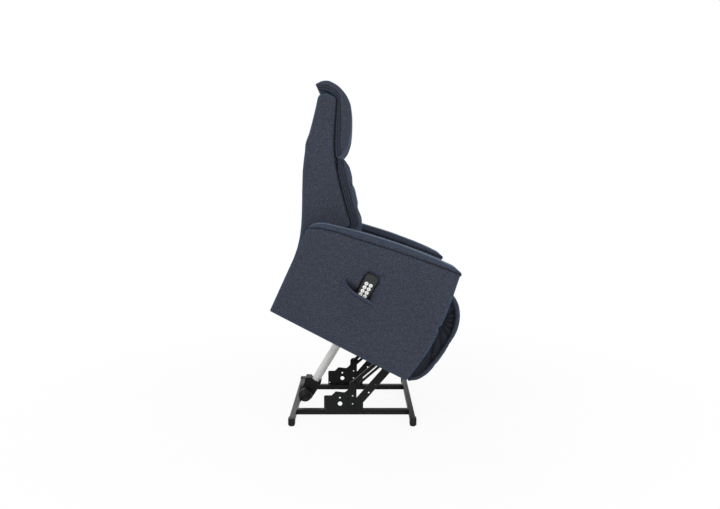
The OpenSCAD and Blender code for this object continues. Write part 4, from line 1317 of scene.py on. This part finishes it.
def make_world(studio):
    world = bpy.data.worlds.new("studio")
    bpy.context.scene.world = world
    world.use_nodes = True
    nodes = Nodes(world.node_tree)
    path = nodes.add("ShaderNodeLightPath").outputs
    seen = nodes.math("MAXIMUM", path["Is Camera Ray"], path["Is Glossy Ray"])
    seen = nodes.math("MAXIMUM", seen, path["Is Transmission Ray"])
    background = world.node_tree.nodes["Background"]
    strength = nodes.add("ShaderNodeMapRange", {0: seen, 3: studio.sky, 4: 1.0}).outputs[0]
    world.node_tree.links.new(strength, background.inputs["Strength"])
    background.inputs["Color"].default_value = (1, 1, 1, 1)


def make_stage():
    studio = bpy.context.scene.recliner_studio
    bpy.context.scene.view_settings.view_transform = "Standard"
    make_world(studio)
    make_floor(studio)
    area_light("key_light", (-2.2, -3.2, 3.6), 2.4, studio.key_power)
    area_light("front_light", (3.0, -2.4, 1.5), 2.2, studio.front_power)
    area_light("rear_light", (-1.0, 3.6, 3.0), 2.6, studio.rear_power)
    camera = bpy.data.cameras.new("camera")
    camera.sensor_width, camera.lens = 36.0, studio.lens
    obj = add_object("camera", camera)
    obj.location = CAMERA_PLACE
    obj.rotation_euler = (math.radians(90 + CAMERA_PITCH), 0, 0)
    bpy.context.scene.camera = obj


# ---------------------------------------------------------------- rigid parts


SLOT_OF = {part["node"]: part["material_slot"] for part in frame["record"]["subparts"]}


def dress_nodes(*slots):
    """Gives every rigid part of these material slots its finish."""
    for node, slot in SLOT_OF.items():
        if slot in slots:
            finish(frame["nodes"][node], slot)


TRIANGLE = ((0, 0.0027), (-0.0024, -0.0014), (0.0024, -0.0014))  # of a button's mark
MARK_HEIGHT = 0.0004


def mark_button(number):
    """A small dark triangle on a button, pointing up or down."""
    name = "button_%d" % number
    mesh = frame["nodes"][name].data
    normal = min(mesh.polygons, key=lambda face: face.normal.y * face.area).normal.copy()
    reach = max(v.co.dot(normal) for v in mesh.vertices)
    cap = [v.co for v in mesh.vertices if v.co.dot(normal) > reach - 1e-5]
    up = TIP.to_3x3() @ Vector((0, 0, 1))
    up = (up - normal * up.dot(normal)).normalized() * (1 if number % 2 else -1)
    side = normal.cross(up)
    middle = sum(cap, Vector()) / len(cap)
    flat = [middle + side * a + up * b for a, b in TRIANGLE]
    points = flat + [p + normal * MARK_HEIGHT for p in flat]
    made = bpy.data.meshes.new(name + "_mark")
    made.from_pydata(points, [], [(2, 1, 0), (3, 4, 5), (0, 1, 4, 3), (1, 2, 5, 4), (2, 0, 3, 5)])
    turn_outward(made)
    dress(add_object(name + "_mark", made), "handset_plastic", name)


# ---------------------------------------------------------------- sizes and colours


def size_property(name, description, default, low, high):
    return FloatProperty(
        name=name, description=description, default=default, min=low, max=high,
        unit="LENGTH", precision=4,
    )


def color_property(name, description, default):
    return FloatVectorProperty(
        name=name, description=description, default=default, min=0, max=1, size=3, subtype="COLOR"
    )


def number_property(name, description, default, low, high):
    return FloatProperty(name=name, description=description, default=default, min=low, max=high)


class FabricSettings(bpy.types.PropertyGroup):
    ground: color_property("Ground", "Colour of most of the yarn", (0.040, 0.042, 0.054))
    cool_yarn: color_property("Cool yarn", "Colour of the blue streaks", (0.052, 0.078, 0.135))
    warm_yarn: color_property("Warm yarn", "Colour of the brown streaks", (0.082, 0.066, 0.062))
    sheen_tint: color_property("Sheen", "Colour of the light on the cloth's nap", (0.42, 0.60, 0.85))
    sheen: number_property("Sheen weight", "Strength of the light on the nap", 0.4, 0, 1)
    sheen_roughness: number_property("Sheen roughness", "How far the nap's light spreads", 0.32, 0, 1)
    thread: size_property("Thread", "Distance from thread to thread", 0.0016, 0.0006, 0.004)
    welt_radius: size_property("Welt radius", "Radius of a covered cord in a seam", 0.0022, 0.001, 0.004)
    stitch_pitch: size_property("Stitch pitch", "Distance from stitch to stitch", 0.005, 0.003, 0.01)


class PaddingSettings(bpy.types.PropertyGroup):
    arm_cell: size_property("Arm mesh", "Mesh size on the arms", 0.006, 0.004, 0.02)
    back_cell: size_property("Back mesh", "Mesh size on the back shell", 0.008, 0.004, 0.02)
    cushion_cell: size_property("Cushion mesh", "Mesh size on the back cushions", 0.006, 0.004, 0.02)
    seat_cell: size_property("Seat mesh", "Mesh size on the seat", 0.008, 0.004, 0.02)
    footrest_cell: size_property("Footrest mesh", "Mesh size on the footrest", 0.005, 0.003, 0.02)
    channel_depth: size_property("Channel depth", "Depth of a sewn channel", 0.009, 0.002, 0.02)


class MetalSettings(bpy.types.PropertyGroup):
    coat: color_property("Powder coat", "Colour of the lift frame's coating", (0.0125, 0.013, 0.0135))
    coat_roughness: number_property("Coat roughness", "Roughness of the coating", 0.38, 0.1, 1)
    coat_gloss: number_property("Coat gloss", "How strongly the coating mirrors", 0.105, 0, 1)
    tube: color_property("Guide tube", "Colour of the actuator's tube", (0.90, 0.90, 0.885))


class StudioSettings(bpy.types.PropertyGroup):
    floor_color: color_property("Floor", "Colour of the floor", (0.94, 0.94, 0.94))
    floor_white: number_property("White floor", "How far the floor's own shade fades", 0.92, 0, 1)
    floor_reach: size_property("Floor reach", "Distance from the middle to the floor's edge", 12, 3, 40)
    sky: number_property("Sky", "Strength of the light from all around", 0.5, 0, 2)
    key_power: number_property("Key light", "Power of the light from the left", 75, 0, 1000)
    front_power: number_property("Front light", "Power of the light on the chair's front", 45, 0, 1000)
    rear_power: number_property("Rear light", "Power of the light from behind", 50, 0, 1000)
    lens: number_property("Lens", "Focal length of the camera, in millimetres", 32.456, 10, 200)


# ---------------------------------------------------------------- operators


class RECLINER_OT_stage(bpy.types.Operator):
    """Floor, white surroundings, lights and camera"""

    bl_idname = "recliner.stage"
    bl_label = "Studio"

    def execute(self, context):
        make_stage()
        return {"FINISHED"}


class RECLINER_OT_metalwork(bpy.types.Operator):
    """Black coating and zinc of the lift frame, its arms, plates, pins and links"""

    bl_idname = "recliner.metalwork"
    bl_label = "Lift frame and pins"

    def execute(self, context):
        dress_nodes("frame_steel", "zinc_pin")
        return {"FINISHED"}


class RECLINER_OT_actuator(bpy.types.Operator):
    """Housings, motor and pale guide tube of the lift actuator"""

    bl_idname = "recliner.actuator"
    bl_label = "Lift actuator"

    def execute(self, context):
        dress_nodes("actuator_tube", "moulded_plastic")
        return {"FINISHED"}


class RECLINER_OT_boards(bpy.types.Operator):
    """Plywood of the seat and the footrest"""

    bl_idname = "recliner.boards"
    bl_label = "Boards"

    def execute(self, context):
        dress_nodes("plywood")
        return {"FINISHED"}


class RECLINER_OT_arms(bpy.types.Operator):
    """The two upholstered arms, each with the seam under its top and a row of stitches"""

    bl_idname = "recliner.arms"
    bl_label = "Arms"

    def execute(self, context):
        for side in ("right", "left"):
            make_arm(side)
        return {"FINISHED"}


class RECLINER_OT_pocket(bpy.types.Operator):
    """The pocket flap with its rolled hem"""

    bl_idname = "recliner.pocket"
    bl_label = "Handset pocket"

    def execute(self, context):
        make_pocket()
        return {"FINISHED"}


class RECLINER_OT_handset(bpy.types.Operator):
    """Case and buttons of the handset, each button with a small triangle"""

    bl_idname = "recliner.handset"
    bl_label = "Handset"

    def execute(self, context):
        dress_nodes("handset_plastic", "button_plastic")
        for number in range(1, 9):
            mark_button(number)
        return {"FINISHED"}


class RECLINER_OT_back_shell(bpy.types.Operator):
    """The back's outer cover, with a welt across the rear"""

    bl_idname = "recliner.back_shell"
    bl_label = "Back cover"

    def execute(self, context):
        make_back_shell()
        return {"FINISHED"}


class RECLINER_OT_lumbar(bpy.types.Operator):
    """The channelled back cushion"""

    bl_idname = "recliner.lumbar"
    bl_label = "Back cushion"

    def execute(self, context):
        make_lumbar()
        return {"FINISHED"}


class RECLINER_OT_headrest(bpy.types.Operator):
    """The head cushion that folds over the top of the back"""

    bl_idname = "recliner.headrest"
    bl_label = "Head cushion"

    def execute(self, context):
        make_headrest()
        return {"FINISHED"}


class RECLINER_OT_seat(bpy.types.Operator):
    """The seat cushion"""

    bl_idname = "recliner.seat"
    bl_label = "Seat cushion"

    def execute(self, context):
        make_seat()
        return {"FINISHED"}


class RECLINER_OT_footrest(bpy.types.Operator):
    """The footrest's padded cover"""

    bl_idname = "recliner.footrest"
    bl_label = "Footrest cover"

    def execute(self, context):
        make_footrest()
        return {"FINISHED"}


OPERATORS = (
    RECLINER_OT_stage,
    RECLINER_OT_metalwork,
    RECLINER_OT_actuator,
    RECLINER_OT_boards,
    RECLINER_OT_arms,
    RECLINER_OT_pocket,
    RECLINER_OT_handset,
    RECLINER_OT_back_shell,
    RECLINER_OT_lumbar,
    RECLINER_OT_headrest,
    RECLINER_OT_seat,
    RECLINER_OT_footrest,
)
SETTINGS = {
    "recliner_fabric": FabricSettings,
    "recliner_padding": PaddingSettings,
    "recliner_metal": MetalSettings,
    "recliner_studio": StudioSettings,
}


class RECLINER_PT_sidebar(bpy.types.Panel):
    """Lists the chair's pieces and their sizes and colours"""

    bl_label = "Lift recliner chair"
    bl_idname = "RECLINER_PT_sidebar"
    bl_space_type = "VIEW_3D"
    bl_region_type = "UI"
    bl_category = "Recliner"

    def draw(self, context):
        for name, group in SETTINGS.items():
            box = self.layout.box()
            for key in group.__annotations__:
                box.prop(getattr(context.scene, name), key)
        for operator in OPERATORS:
            self.layout.operator(operator.bl_idname)


def register():
    for group in SETTINGS.values():
        bpy.utils.register_class(group)
    for name, group in SETTINGS.items():
        setattr(bpy.types.Scene, name, PointerProperty(type=group))
    for operator in OPERATORS:
        bpy.utils.register_class(operator)
    bpy.utils.register_class(RECLINER_PT_sidebar)


def unregister():
    bpy.utils.unregister_class(RECLINER_PT_sidebar)
    for operator in reversed(OPERATORS):
        bpy.utils.unregister_class(operator)
    for name in SETTINGS:
        delattr(bpy.types.Scene, name)
    for group in reversed(list(SETTINGS.values())):
        bpy.utils.unregister_class(group)


def main():
    register()
    for operator in OPERATORS:
        getattr(bpy.ops.recliner, operator.bl_idname.split(".")[1])()


if __name__ == "__main__":
    main()
